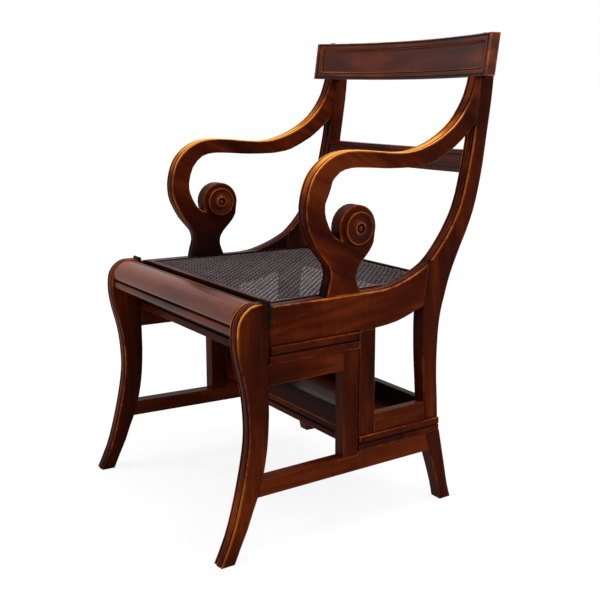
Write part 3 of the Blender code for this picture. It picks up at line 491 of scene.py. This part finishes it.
# SIDE FRAMES OF THE BASE
# On each side a short top rail, an upright post and a sill rail that runs on into the splayed back
# foot, all sawn square from mahogany with softened edges.
FOOT_LINE = CHAMFER * 2  # between these lines the foot's narrow faces stay dark
FOOT_WEAR = 0.8
FOOT_LEAN = -0.12        # of its grain
for name, side in SIDES:
    for stem, grain in (("fixed_post_", "up"), ("fixed_top_rail_", "along"), ("sill_rail_", "along")):
        polish(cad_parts[stem + name], grain, wear_and_shade="edges")
    foot = worked_copy("back_foot_" + name, "back_foot_sawn_" + name)
    saw_lines(side, (FOOT_LINE, SIDE_THICK - FOOT_LINE))
    rub(foot, side)
    set_wear_and_light(foot, lambda vert: True, lambda vert, wear_and_light: wear_and_light * FOOT_WEAR)
    done(foot)
    # the foot's tones are held dark, without the bright one, as painted shade at the back
    polish(foot, "up", lean=FOOT_LEAN, tones=(DARK, BODY, BODY))
    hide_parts("back_foot_" + name)
    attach(foot, "base")


# TREADS
# Four thin mahogany boards with rounded noses: two fixed on the base and two on the swinging part,
# which lie on the fixed ones. Their edges are rubbed, with painted shade where two boards are shut
# together.
TREAD_BRIGHT = (0.080, 0.0120, 0.0020, 1.0)
TREAD_WEAR = 0.9
for pair in (("middle_tread", "third_tread"), ("low_tread", "top_tread")):
    for node in pair:
        polish(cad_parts[node], "across", wear_and_shade="edges", amount=TREAD_WEAR,
               shut=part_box(pair[1])[0].z, tones=(DARK, BODY, TREAD_BRIGHT))


# SIDE SEAT RAILS AND BACK POSTS
# Each side rail sweeps up into the back post, sawn from wide board and jointed on the sweep. The
# upper edge of the sweep carries the same reeding as the legs. The post runs down to the top tread.
SWEEP = {"side_seat_rail": ((0.0330, 0.4437), (0.1050, 0.4600), (0.1488, 0.4818)),
         "back_post": ((0.1491, 0.4820), (0.2300, 0.5900), (0.2584, 0.7374))}    # reeding, as y and z
SWEEP_JOINT = ((0.1364, 0.4020), (0.1491, 0.4819))    # between rail and post
ARM_JOINT = ((0.2585, 0.7374), (0.2687, 0.8218))      # between arm and post
SWEEP_LEAN = -0.1        # of the grain
GLUE = 0.0003
JOINT_REACH = CHAMFER * 1.6
JOINT_WEAR = 0.1
SEAM_CUT = 0.0090        # a line this far behind the seam ends its painted shade
POST_HEAD = 0.8203       # what lies higher is let into the crest rail
HEAD_RISE = 0.8231       # it is raised to this height at the arm's joint, and slopes up behind it
HEAD_SLOPE = 0.09
INSIDE_SHADE = -0.85       # the face towards the cane is painted dark with shade, up the sweep too
INSIDE_FADE = (0.4300, 0.5000, 0.6200)    # heights on the post: it begins, starts to fade, is gone
TOP_EDGE = 0.2           # the edges of the rail's top turn up more than this
TOP_WEAR = 1.0
UNWORN = 0.2             # edges marked no higher stay as they are
FAR_WEAR = 0.3           # the right side is rubbed less


def close_joint(piece, ends, push):
    """Bring a piece up to its neighbour along a glued joint, which hardly shows on the real chair."""
    start, end = (Vector(point) for point in ends)
    along = (end - start).normalized()
    across = Vector((along.y, -along.x))
    wear_and_light = piece.data.attributes["wear_and_light"].data
    for index, vert in enumerate(piece.data.vertices):
        spot = Vector((vert.co.y, vert.co.z)) - start
        run, off = spot.dot(along), abs(spot.dot(across))
        if off < JOINT_REACH and -JOINT_REACH < run < (end - start).length + JOINT_REACH:
            vert.co.y, vert.co.z = start + along * run + across * push
            wear_and_light[index].value = min(wear_and_light[index].value, JOINT_WEAR)


def let_in(piece):
    """Let the top end of a piece into the crest rail, a little higher towards the back."""
    for vert in piece.data.vertices:
        if vert.co.z > POST_HEAD:
            vert.co.z = HEAD_RISE + HEAD_SLOPE * max(vert.co.y - ARM_JOINT[1][0], 0.0)


def inner_face(vert, side):
    """Whether a point is on the face towards the cane."""
    return depth_in(vert.co, side) > SIDE_THICK - WELD


for stem, marks in SWEEP.items():
    for name, side in SIDES:
        piece = worked_copy(stem + "_" + name, stem + "_reeded_" + name)
        cut((0.0, HINGE_Y + SEAM_CUT, 0.0), (0.0, 1.0, 0.0))
        reed(piece, side, marks)
        if stem == "back_post":
            close_joint(piece, SWEEP_JOINT, 0.0)
            close_joint(piece, ARM_JOINT, 0.0)
            low, full, high = INSIDE_FADE
            set_wear_and_light(piece, lambda vert: inner_face(vert, side) and low < vert.co.z < high,
                     lambda vert, wear_and_light: INSIDE_SHADE * min(1.0, (high - vert.co.z) / (high - full)))
            let_in(piece)
        else:
            close_joint(piece, SWEEP_JOINT, GLUE)
            set_wear_and_light(piece, lambda vert: vert.normal.z > TOP_EDGE
                     and depth_in(vert.co, side) < INSIDE_CHAMFER,
                     lambda vert, wear_and_light: max(wear_and_light, TOP_WEAR) if wear_and_light > UNWORN else wear_and_light)
            set_wear_and_light(piece, lambda vert: side < 0, lambda vert, wear_and_light: min(wear_and_light, FAR_WEAR * abs(wear_and_light)))
            set_wear_and_light(piece, lambda vert: inner_face(vert, side), lambda vert, wear_and_light: INSIDE_SHADE)
            shade_seam(piece)
        done(piece)
        polish(piece, "along" if stem == "side_seat_rail" else "up", lean=SWEEP_LEAN)
        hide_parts(stem + "_" + name)
        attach(piece, "swing_section")


# SCROLL ARMS
# Each arm is one sawn piece from the seat rail round the scroll and up to the crest rail, reeded on
# its outer edge. Its top is worn to a golden orange that is in part painted highlight, brightest
# where it turns up, and its foot next to the cane is painted dark with shade.
ARM_FOOT = (-0.1280, 0.4440)     # the reeding starts here, goes round the front and ends at the tip
ARM_FRONT_Z = 0.5930
ARM_TIP = 0.0120
ARM_LEAN = 0.5           # of the grain
GOLD_FROM = 0.6150       # the top is golden above this height, in part painted highlight, and less so from the next one up
GOLD_TO = 0.7450
GOLD_FADE = 0.0700
# how far a top turned up to the light is raised, in part painted highlight
GOLD_AND_HIGHLIGHT_RAISE = 1.15
GOLD_LEAST = 0.25
REED_WEAR = 0.5          # marks below this are in the reeding, where the gold ends lower
NOT_SIDE = 0.8           # points turned sideways more than this are on the side faces
FOOT_SHADE = (0.4600, 0.5300)      # painted dark with shade up to the first height, gone at the second


def foot_shaded(height):
    """How dark the foot of an arm is painted with shade at a height, next to the cane."""
    return min(1.0, (FOOT_SHADE[1] - height) / (FOOT_SHADE[1] - FOOT_SHADE[0]))


def gold(height):
    """How golden the top of an arm is at a height: less towards the crest rail."""
    return min(1.0, max(0.0, (GOLD_TO + GOLD_FADE - height) / GOLD_FADE))


def gilded_and_lit(vert, wear_and_light):
    """The mark of a point on top of the arm, raised to golden as far as it turns up to the light: wear
    and painted highlight.
    """
    if wear_and_light <= 0:
        return wear_and_light
    height = vert.co.z if wear_and_light > REED_WEAR else vert.co.z + GOLD_FADE / 2
    return wear_and_light + GOLD_AND_HIGHLIGHT_RAISE * vert.normal.z * gold(height)


for name, side in SIDES:
    arm = worked_copy("arm_" + name, "arm_reeded_" + name)
    low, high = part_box("arm_" + name)
    reed(arm, side, (ARM_FOOT, (low.y, ARM_FRONT_Z), (high.y - ARM_TIP, high.z)))
    set_wear_and_light(arm, lambda vert: vert.normal.z > 0.0 and abs(vert.normal.x) < NOT_SIDE
             and vert.co.z > GOLD_FROM, gilded_and_lit)
    set_wear_and_light(arm, lambda vert: vert.co.z > GOLD_TO,
             lambda vert, wear_and_light: wear_and_light * max(GOLD_LEAST, gold(vert.co.z)) if wear_and_light > 0 else wear_and_light)
    set_wear_and_light(arm, lambda vert: vert.co.z < FOOT_SHADE[1]
             and (side < 0 or depth_in(vert.co, side) > INSIDE_CHAMFER),
             lambda vert, wear_and_light: wear_and_light + (INSIDE_SHADE - wear_and_light) * foot_shaded(vert.co.z))
    close_joint(arm, ARM_JOINT, GLUE)
    let_in(arm)
    done(arm)
    polish(arm, "along", lean=ARM_LEAN)
    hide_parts("arm_" + name)
    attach(arm, "swing_section")


# ROUNDELS
# Four turned mahogany bosses glued on the scrolls, one on each face of each arm: a fillet, a hollow
# disc that rises to a ring, and a small button in a dark cove. The high rims are rubbed to orange.
BOSS_MIDDLE = (-0.02334, 0.56148)
BOSS_RADIUS = 0.0293
BOSS_PROUD = 0.0090
BOSS_SIDES = 56
BOSS_CORNER = math.radians(35)
BOSS_GLOSS = 0.04
BOSS_TURNING = ((1.000, 0.58, 0.30), (0.985, 0.66, 0.90), (0.945, 0.68, 0.90), (0.915, 0.54, -1.0),
                (0.875, 0.55, -0.30), (0.720, 0.48, 0.00), (0.560, 0.52, 0.10), (0.450, 0.68, 0.30),
                (0.385, 0.90, 0.45), (0.330, 0.97, 0.65), (0.285, 0.90, 0.30), (0.250, 0.45, -0.9),
                (0.190, 0.40, -1.0), (0.150, 0.75, 0.20), (0.100, 0.88, 0.60), (0.045, 0.90, 0.50),
                (0.030, 0.80, -0.8))    # radius and height as shares, and wear; below nought is dark wax and painted shade
for name, side in SIDES:
    for face, out in (("outer", side), ("inner", -side)):
        node = "roundel_" + name + "_" + face
        bpy.ops.object.select_all(action="DESELECT")
        bpy.ops.mesh.primitive_circle_add(vertices=BOSS_SIDES, radius=BOSS_RADIUS, fill_type="NGON")
        boss = bpy.context.object
        boss.name = "boss_" + name + "_" + face
        edit(boss)
        before, level = BOSS_TURNING[0][:2]
        bpy.ops.mesh.extrude_region_move(TRANSFORM_OT_translate={"value": (0.0, 0.0, level * BOSS_PROUD)})
        for share, height, wear_and_shade in BOSS_TURNING[1:]:
            bpy.ops.mesh.inset(thickness=(before - share) * BOSS_RADIUS,
                               depth=(height - level) * BOSS_PROUD)
            before, level = share, height
        bpy.ops.object.mode_set(mode="OBJECT")
        wear_and_light = boss.data.attributes.new("wear_and_light", "FLOAT", "POINT")
        for index, vert in enumerate(boss.data.vertices):
            across, height = vert.co.xy.length / BOSS_RADIUS, vert.co.z / BOSS_PROUD
            wear_and_light.data[index].value = min(BOSS_TURNING, key=lambda ring: (
                abs(ring[0] - across) + abs(ring[1] - height)))[2]
        low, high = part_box(node)
        base = (low.x if out > 0 else high.x) + out * BOSS_RADIUS * math.sin(math.atan(TAPER))
        boss.rotation_euler = Vector((out, TAPER * side * out, 0.0)).to_track_quat("Z", "Y").to_euler()
        boss.location = (base, *BOSS_MIDDLE)
        bpy.ops.object.transform_apply(location=True, rotation=True, scale=True)
        done(boss, BOSS_CORNER)
        polish(boss, "up", gloss=BOSS_GLOSS)
        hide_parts(node)
        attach(boss, "swing_section")


# CREST RAIL
# The bowed top rail, worked from one plank: a rounded lip, a groove, a low moulding and a sunk panel
# with a thin bead in its corner. Two low dark glides stand on its top edge.
CREST_HALF = 0.28367
CREST_TALL = 0.0783
CREST_THICK = 0.0235
CREST_BOTTOM = 0.8235
CREST_SET = 0.4606875    # front of the rail's ends, behind the seam
CREST_LEAN = 0.0110
CREST_BOW = 0.0290
CREST_ROUND = 0.0016
CREST_EDGE = CREST_ROUND * 1.2    # what lies nearer an edge is on its round
CREST_WORKED = 0.0078    # the moulding goes no deeper
CREST_ENDS = 0.0050      # the frame is this much wider at the ends
CREST_CUTS = 40
CREST_WORK = ((0.0006, 0.0000, -0.20), (0.0010, -0.0018, -1.0), (0.0020, 0.0000, -1.0),
              (0.0008, 0.0013, 0.00), (0.0028, 0.0006, 0.25), (0.0028, -0.0006, 0.10),
              (0.0016, -0.0003, -0.10), (0.0008, -0.0022, -0.9), (0.0034, 0.0000, -0.30),
              (0.0030, 0.0000, 0.00))    # in, out, wear; below nought is dark wax and painted shade
CREST_FLATS = (0.1, 0.35)        # wear on the flats: long faces and end faces
CREST_ROUNDS = (0.35, 0.7, 0.9)  # wear on the rounds: bottom, top and ends
CREST_GLOSS = 0.14
BEAD_BROWN = (0.240, 0.0500, 0.0060, 1.0)


def crest_wear_and_shade(x, depth, height):
    """How rubbed the straight rail is at a point of its surface, with dark wax and painted shade in its
    sunk lines.
    """
    end, edge = CREST_HALF - abs(x), min(height, CREST_TALL - height)
    border, reach = min(end - CREST_ENDS, edge), CREST_ROUND
    if depth < CREST_WORKED and border > CREST_EDGE:
        for thick, rise, wear_and_shade in CREST_WORK:
            reach += thick
            if abs(border - reach) < thick / 3:
                return wear_and_shade
    if sorted((end, edge, min(depth, CREST_THICK - depth)))[1] > CREST_EDGE:
        return CREST_FLATS[end < WELD]
    if end < CREST_EDGE:
        return CREST_ROUNDS[2]
    return CREST_ROUNDS[height > CREST_TALL / 2]


bpy.ops.object.select_all(action="DESELECT")
bpy.ops.mesh.primitive_cube_add(size=1.0)
crest = bpy.context.object
crest.name = "crest_rail_panelled"
edit(crest)
bpy.ops.transform.resize(value=(2 * CREST_HALF, CREST_THICK, CREST_TALL), center_override=(0.0, 0.0, 0.0))
bpy.ops.transform.translate(value=(0.0, CREST_THICK / 2, CREST_TALL / 2))
bpy.ops.mesh.bevel(offset=CREST_ROUND, segments=3, affect="EDGES")
pick(crest, "faces", lambda face: face.normal.y > -FACING
     and max(abs(part) for part in face.normal) > FACING)
bpy.ops.mesh.inset(thickness=CREST_ROUND, use_individual=True)
pick(crest, "faces", lambda face: face.normal.y < -FACING)
for step, (thick, rise, wear_and_shade) in enumerate(CREST_WORK):
    bpy.ops.mesh.inset(thickness=thick, depth=rise)
    if step == 0:
        bpy.ops.transform.resize(value=(1 - CREST_ENDS / CREST_HALF, 1.0, 1.0),
                                 center_override=(0.0, 0.0, 0.0))
for step in range(1, CREST_CUTS):
    cut((CREST_HALF * (2 * step / CREST_CUTS - 1), 0.0, 0.0), (1.0, 0.0, 0.0))
bpy.ops.object.mode_set(mode="OBJECT")
wear_and_light = crest.data.attributes.new("wear_and_light", "FLOAT", "POINT")
tilt = math.atan2(CREST_LEAN, CREST_TALL)
for index, vert in enumerate(crest.data.vertices):
    x, depth, height = vert.co
    wear_and_light.data[index].value = crest_wear_and_shade(x, depth, height)
    back = CREST_BOW * (1 - (x / CREST_HALF) ** 2)
    vert.co.y = HINGE_Y + CREST_SET + CREST_LEAN * height / CREST_TALL + depth + back * math.cos(tilt)
    vert.co.z = CREST_BOTTOM + height - back * math.sin(tilt)
done(crest, ROUND)
polish(crest, "across", gloss=CREST_GLOSS)
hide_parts("crest_rail")
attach(crest, "swing_section")
polish(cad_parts["crest_bead"], "across", wear_and_shade="none", tones=(BRIGHT, BEAD_BROWN, ORANGE))
for name, side in SIDES:
    polish(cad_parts["crest_glide_" + name], "up", wear_and_shade="none", tones=(WAX_AND_SHADE, DARK, BODY))


# MIDDLE BACK RAIL
# A thin bowed mahogany rail let in between the posts: a flat with a small bead standing along each
# edge, and a dark line of wax and painted shade inside each bead.
BEAD_MARGIN = 0.0022     # width of the dark line of wax and painted shade
BEAD_FADE = 0.0012
RAIL_FLAT = BEAD_MARGIN * 8      # the flat stands taller than this
RAIL_FACING = 0.9        # and its bowed front turns less than this from straight
RAIL_WEAR = 0.05
# dark wax and painted shade in the inner corners and beside the beads
RAIL_WAX_AND_SHADE = -1.0
RAIL_GLOSS = 0.07


def tall(face):
    """How tall a face stands."""
    return max(vert.co.z for vert in face.verts) - min(vert.co.z for vert in face.verts)


rail = worked_copy("middle_back_rail", "middle_back_rail_beaded")
mark_corners(rail, RAIL_WAX_AND_SHADE, rubbed=RAIL_WEAR)
edit(rail)
pick(rail, "faces", lambda face: face.normal.y < -RAIL_FACING and tall(face) > RAIL_FLAT)
bpy.ops.mesh.inset(thickness=BEAD_MARGIN)
bpy.ops.mesh.inset(thickness=BEAD_FADE)
bpy.ops.object.mode_set(mode="OBJECT")
for face in rail.data.polygons:
    if face.select:
        for index in face.vertices:
            rail.data.attributes["wear_and_light"].data[index].value = 0.0
done(rail, ROUND)
polish(rail, "across", gloss=RAIL_GLOSS)
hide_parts("middle_back_rail")
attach(rail, "swing_section")


# SEAT FRAME
# Mahogany rails at the front and back, let in between the side rails, and two ledges that carry the
# cane at the sides. The top of the front rail has the roll rail's shadow painted on in black along
# the seam, and pinkish tones behind it that are painted sheen.
FRONT_SHADOW_EDGE = -0.1985      # how far back the roll rail's painted shadow reaches
# the painted shadow on the rail's top is black
FRONT_SHADOW = -1.0
FRONT_SEAM_SHADE = -0.35      # painted shade on the face at the seam, seen from behind the steps
# pinkish tones behind the shadow, a painted sheen with the rail's own gloss off
FRONT_SHEEN_TONES = ((0.060, 0.026, 0.021, 1.0), (0.110, 0.052, 0.044, 1.0), (0.190, 0.095, 0.080, 1.0))
FRAME_EDGE_DARK = -0.9         # darkens the edges of the others
FRAME_GLOSS = 0.05
front = worked_copy("seat_front_rail", "seat_front_rail_shaded")
for place in (FRONT_SHADOW_EDGE, FRONT_SHADOW_EDGE + GLUE):
    cut((0.0, place, 0.0), (0.0, 1.0, 0.0))
bpy.ops.object.mode_set(mode="OBJECT")
front.data.attributes.new("wear_and_light", "FLOAT", "POINT")
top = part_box("seat_front_rail")[1].z
set_wear_and_light(front, lambda vert: vert.co.y < FRONT_SHADOW_EDGE + WELD,
         lambda vert, wear_and_light: FRONT_SHADOW if vert.co.z > top - INSIDE_CHAMFER else FRONT_SEAM_SHADE)
done(front)
polish(front, "across", gloss=0.0, tones=FRONT_SHEEN_TONES)
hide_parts("seat_front_rail")
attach(front, "swing_section")
for node in ("seat_back_rail", "cane_ledge_left", "cane_ledge_right"):
    polish(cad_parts[node], "along" if "ledge" in node else "across", wear_and_shade="edges",
           gloss=FRAME_GLOSS, amount=FRAME_EDGE_DARK, tones=(WAX_AND_SHADE, DARK, BODY))


# CANE SEAT
# Close diagonal cane: flat strips that pass over and under each other at 45 degrees, stained nearly
# black and varnished, with a thin spline all round over the cut ends. The varnish's sheen is painted
# into the strips' grey-pink tones, and their edges are painted dark with shade.
STRIP_PITCH = 0.0095     # square to the strips
STRIP_WIDE = 0.0064
STRIP_THICK = 0.0003
STRIP_RISE = 0.0002      # over and under at a crossing
STRIP_STEPS = 198        # three to a crossing
STRIP_PAIRS = 33
STRIP_WEAVE = (((5, 0), STRIP_RISE), ((2, 3), -STRIP_RISE))    # of six steps, which go up and down
CANE_MIDDLE = (0.0, 0.0029, 0.4427)
CANE_SIDE = 0.2477       # at the seam
CANE_ENDS = (-0.1885, 0.1943)
CANE_EDGES = (((0.0, CANE_ENDS[0], 0.0), (0.0, -1.0, 0.0)), ((0.0, CANE_ENDS[1], 0.0), (0.0, 1.0, 0.0)),
              ((CANE_SIDE, HINGE_Y, 0.0), (1.0, TAPER, 0.0)),
              ((-CANE_SIDE, HINGE_Y, 0.0), (-1.0, TAPER, 0.0)))
bpy.ops.object.select_all(action="DESELECT")
bpy.ops.mesh.primitive_grid_add(x_subdivisions=STRIP_STEPS, y_subdivisions=1, size=1.0)
cane = bpy.context.object
cane.name = "cane_woven"
edit(cane)
step = STRIP_PITCH / 3
bpy.ops.transform.resize(value=(STRIP_STEPS * step, STRIP_WIDE, 1.0), center_override=(0.0, 0.0, 0.0))
bpy.ops.transform.translate(value=(step / 2, 0.0, 0.0))
for phases, rise in STRIP_WEAVE:
    pick(cane, "verts", lambda vert: round((vert.co.x - step / 2) / step) % 6 in phases)
    bpy.ops.transform.translate(value=(0.0, 0.0, rise))
bpy.ops.mesh.select_all(action="SELECT")
bpy.ops.mesh.duplicate()
bpy.ops.transform.translate(value=(STRIP_PITCH, STRIP_PITCH, 0.0))
bpy.ops.object.mode_set(mode="OBJECT")
bpy.ops.object.modifier_add(type="ARRAY")
rows = cane.modifiers[0]
rows.count = STRIP_PAIRS
rows.use_relative_offset = False
rows.use_constant_offset = True
rows.constant_offset_displace = (0.0, 2 * STRIP_PITCH, 0.0)
bpy.ops.object.modifier_apply(modifier=rows.name)
edit(cane)
bpy.ops.transform.translate(value=(0.0, (1 - STRIP_PAIRS) * STRIP_PITCH, 0.0))
bpy.ops.transform.rotate(value=math.pi / 4, orient_axis="Z", center_override=(0.0, 0.0, 0.0))
bpy.ops.mesh.duplicate()
bpy.ops.transform.rotate(value=math.pi, orient_axis="Y", center_override=(0.0, 0.0, 0.0))
bpy.ops.mesh.select_all(action="SELECT")
bpy.ops.transform.translate(value=CANE_MIDDLE)
for place, outward in CANE_EDGES:
    cut(place, outward, clear=True)
bpy.ops.object.mode_set(mode="OBJECT")
bpy.ops.object.modifier_add(type="SOLIDIFY")
cane.modifiers[0].thickness = STRIP_THICK
cane.modifiers[0].offset = 0.0
bpy.ops.object.modifier_apply(modifier=cane.modifiers[0].name)
done(cane, ROUND)

# grey-pink strip tones that hold the varnish's sheen as painted sheen, the shader's own reflection being
# off
CANE_SHEEN_DARK = (0.0540, 0.0420, 0.0440, 1.0)
CANE_SHEEN_PALE = (0.1350, 0.1080, 0.1120, 1.0)
# painted shade at the strips' edges
CANE_RIM_SHADE = (0.0020, 0.0010, 0.0010, 1.0)
FIBRE_STRETCH = (24.0, 9.0, 1.0)     # on the strips' own map
FIBRE = (1.0, 3.0, 0.6)
BLOTCH = (45.0, 3.0, 0.6)
FIBRE_SHARE, BLOTCH_SHARE = 0.7, 0.3
DARK_TO_PALE = (0.38, 0.64)
RIM_FROM, RIM_TO = 0.26, 0.42    # out from the middle of a strip, where its edge is 0.5: the painted shade of the rim
CANE_ROUGH = (0.25, 0.22)        # the fibre's part, and the least
stain, tree, shader = new_material("stained_cane")
strip = add(tree, "ShaderNodeUVMap").outputs[0]
fibre = noise(tree, stretched(tree, strip, FIBRE_STRETCH), *FIBRE)
blotch = noise(tree, add(tree, "ShaderNodeTexCoord").outputs["Object"], *BLOTCH)
tone = maths(tree, "MULTIPLY_ADD", fibre, FIBRE_SHARE, maths(tree, "MULTIPLY", blotch, BLOTCH_SHARE))
cane_sheen_colour = blended(tree, ramped(tree, tone, *DARK_TO_PALE), CANE_SHEEN_DARK, CANE_SHEEN_PALE)
across = add(tree, "ShaderNodeSeparateXYZ", {0: strip}).outputs[1]
rim_shade = ramped(tree, maths(tree, "ABSOLUTE", maths(tree, "SUBTRACT", across, 0.5)), RIM_FROM, RIM_TO)
tree.links.new(blended(tree, rim_shade, cane_sheen_colour, CANE_RIM_SHADE), shader.inputs["Base Color"])
tree.links.new(maths(tree, "MULTIPLY_ADD", fibre, *CANE_ROUGH), shader.inputs["Roughness"])
shader.inputs["Specular IOR Level"].default_value = 0.0
cane.data.materials.append(stain)
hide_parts("cane_panel")
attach(cane, "swing_section")

SPLINE_MIDDLE = 0.4447
SPLINE_FOOT = 0.4433     # pressed down on the cane
SPLINE_BACK = (0.1880, 0.4482)    # behind this it is stouter, up to this height
SPLINE_GLOSS = 0.1
spline = worked_copy("cane_spline", "cane_spline_pressed")
bpy.ops.object.mode_set(mode="OBJECT")
for vert in spline.data.vertices:
    if vert.co.z < SPLINE_MIDDLE:
        vert.co.z = SPLINE_FOOT
    elif vert.co.y > SPLINE_BACK[0]:
        vert.co.z = SPLINE_BACK[1]
done(spline)
polish(spline, "across", wear_and_shade="none", tones=(WAX_AND_SHADE, DARK, BODY), gloss=SPLINE_GLOSS)
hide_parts("cane_spline")
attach(spline, "swing_section")


# TRAY AND SWINGING POSTS
# Two mahogany posts, sawn square, hold the top tread of the steps under the seat. Four low walls
# glued on that tread make a tray of it in the chair.
SWING_BRIGHT = (0.170, 0.0300, 0.0060, 1.0)
for name, side in SIDES:
    polish(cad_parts["swing_post_" + name], "up", wear_and_shade="edges", tones=(DARK, BODY, SWING_BRIGHT))
    polish(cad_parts["tray_side_rail_" + name], "along", wear_and_shade="edges")
# the front and back rails take darker tones as painted shade inside the frame
for node in ("tray_front_rail", "tray_back_rail"):
    polish(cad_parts[node], "across", wear_and_shade="edges", tones=(WAX_AND_SHADE, DARK, BODY))


# HINGES
# Two bronze butt hinges in the seam behind the front legs, each leaf held by two screws. The bronze
# has gone brown with age, a little brighter in patches.
BRONZE_CLOUD = (160.0, 4.0, 0.6)
BRONZE_RAMP = (0.4, 0.65)
BRONZE_DARK = (0.003, 0.0018, 0.0014, 1.0)
BRONZE_BRIGHT = (0.010, 0.0060, 0.0040, 1.0)
BRONZE_ROUGH = (0.3, 0.4)        # the cloud's part, and the least
bronze, tree, shader = new_material("aged_bronze")
cloud = noise(tree, add(tree, "ShaderNodeTexCoord").outputs["Object"], *BRONZE_CLOUD)
tree.links.new(blended(tree, ramped(tree, cloud, *BRONZE_RAMP), BRONZE_DARK, BRONZE_BRIGHT),
               shader.inputs["Base Color"])
tree.links.new(maths(tree, "MULTIPLY_ADD", cloud, *BRONZE_ROUGH), shader.inputs["Roughness"])
shader.inputs["Metallic"].default_value = 0.3
shader.inputs["Specular IOR Level"].default_value = 0.05
for node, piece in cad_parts.items():
    if node.startswith("hinge_"):
        piece.data.materials.clear()
        piece.data.materials.append(bronze)


# ROOM
# A plain pale floor, soft light from above and both sides, and the camera where the photograph was
# taken from.
CAMERA_PLACE = (1.6452, -1.03565, 0.7944)
CAMERA_TURN = (math.radians(78.0382), 0.0, math.radians(57.1094))
CAMERA_LENS = 58.928
CAMERA_SENSOR = 36.0
camera = bpy.data.cameras.new("camera")
camera.lens = CAMERA_LENS
camera.sensor_width = CAMERA_SENSOR
viewer = bpy.data.objects.new("camera", camera)
viewer.location = CAMERA_PLACE
viewer.rotation_euler = CAMERA_TURN
bpy.context.scene.collection.objects.link(viewer)
bpy.context.scene.camera = viewer

WHITE = (1.0, 1.0, 1.0, 1.0)
FLOOR_REACH = 30.0
FLOOR_PALE = (0.55, 0.55, 0.55, 1.0)
FLOOR_FAINT = (0.16, 0.16, 0.16, 1.0)    # the part of the seen floor that the shadow darkens
FLOOR_GLOW = (0.87, 0.975)       # near the chair and far from it
FLOOR_FAR = (1.2, 4.0)


def seen_directly(tree):
    """Whether a ray is one that shows in the picture, straight, in a reflection or through glass."""
    rays = add(tree, "ShaderNodeLightPath").outputs
    seen = maths(tree, "MAXIMUM", rays["Is Camera Ray"], rays["Is Glossy Ray"])
    return maths(tree, "MAXIMUM", seen, rays["Is Transmission Ray"])


bpy.ops.object.select_all(action="DESELECT")
bpy.ops.mesh.primitive_plane_add(size=FLOOR_REACH)
floor = bpy.context.object
floor.name = "floor"
paint, tree, shader = new_material("pale_floor")
shader.inputs["Roughness"].default_value = 0.9
shader.inputs["Specular IOR Level"].default_value = 0.0
shader.inputs["Emission Color"].default_value = WHITE
seen = seen_directly(tree)
tree.links.new(blended(tree, seen, FLOOR_PALE, FLOOR_FAINT), shader.inputs["Base Color"])
away = add(tree, "ShaderNodeVectorMath", {0: add(tree, "ShaderNodeTexCoord").outputs["Object"]},
           operation="LENGTH").outputs["Value"]
glow = add(tree, "ShaderNodeMapRange", {"Value": away, "From Min": FLOOR_FAR[0], "From Max": FLOOR_FAR[1],
                                        "To Min": FLOOR_GLOW[0], "To Max": FLOOR_GLOW[1]}).outputs[0]
tree.links.new(maths(tree, "MULTIPLY", seen, glow), shader.inputs["Emission Strength"])
floor.data.materials.append(paint)

AMBIENT = 0.38           # the sky's light on the chair, against 1 where it is seen
world = bpy.data.worlds.new("studio")
bpy.context.scene.world = world
world.use_nodes = True
sky = world.node_tree
strength = add(sky, "ShaderNodeMix", {0: seen_directly(sky), 2: AMBIENT, 3: 1.0}, data_type="FLOAT")
sky.nodes["Background"].inputs["Color"].default_value = WHITE
sky.links.new(strength.outputs[0], sky.nodes["Background"].inputs["Strength"])

LAMPS = (("top_lamp", (0.3, 0.3, 2.6), (0.0, 0.0, 0.4), 1.5, 44.0),
         ("left_lamp", (2.2, 0.9, 1.7), (0.0, 0.0, 0.45), 1.2, 25.0),
         ("front_lamp", (-0.6, -2.6, 1.7), (0.0, 0.0, 0.45), 1.2, 20.0),
         ("high_lamp", (-1.1, -1.2, 2.4), (0.0, -0.1, 0.45), 0.4, 14.0))    # place, aim, size, power
for name, place, target, size, power in LAMPS:
    lamp = bpy.data.lights.new(name, "AREA")
    lamp.size = size
    lamp.energy = power
    body = bpy.data.objects.new(name, lamp)
    body.location = place
    body.rotation_euler = (Vector(target) - Vector(place)).to_track_quat("-Z", "Y").to_euler()
    bpy.context.scene.collection.objects.link(body)

bpy.context.scene.view_settings.view_transform = "Standard"
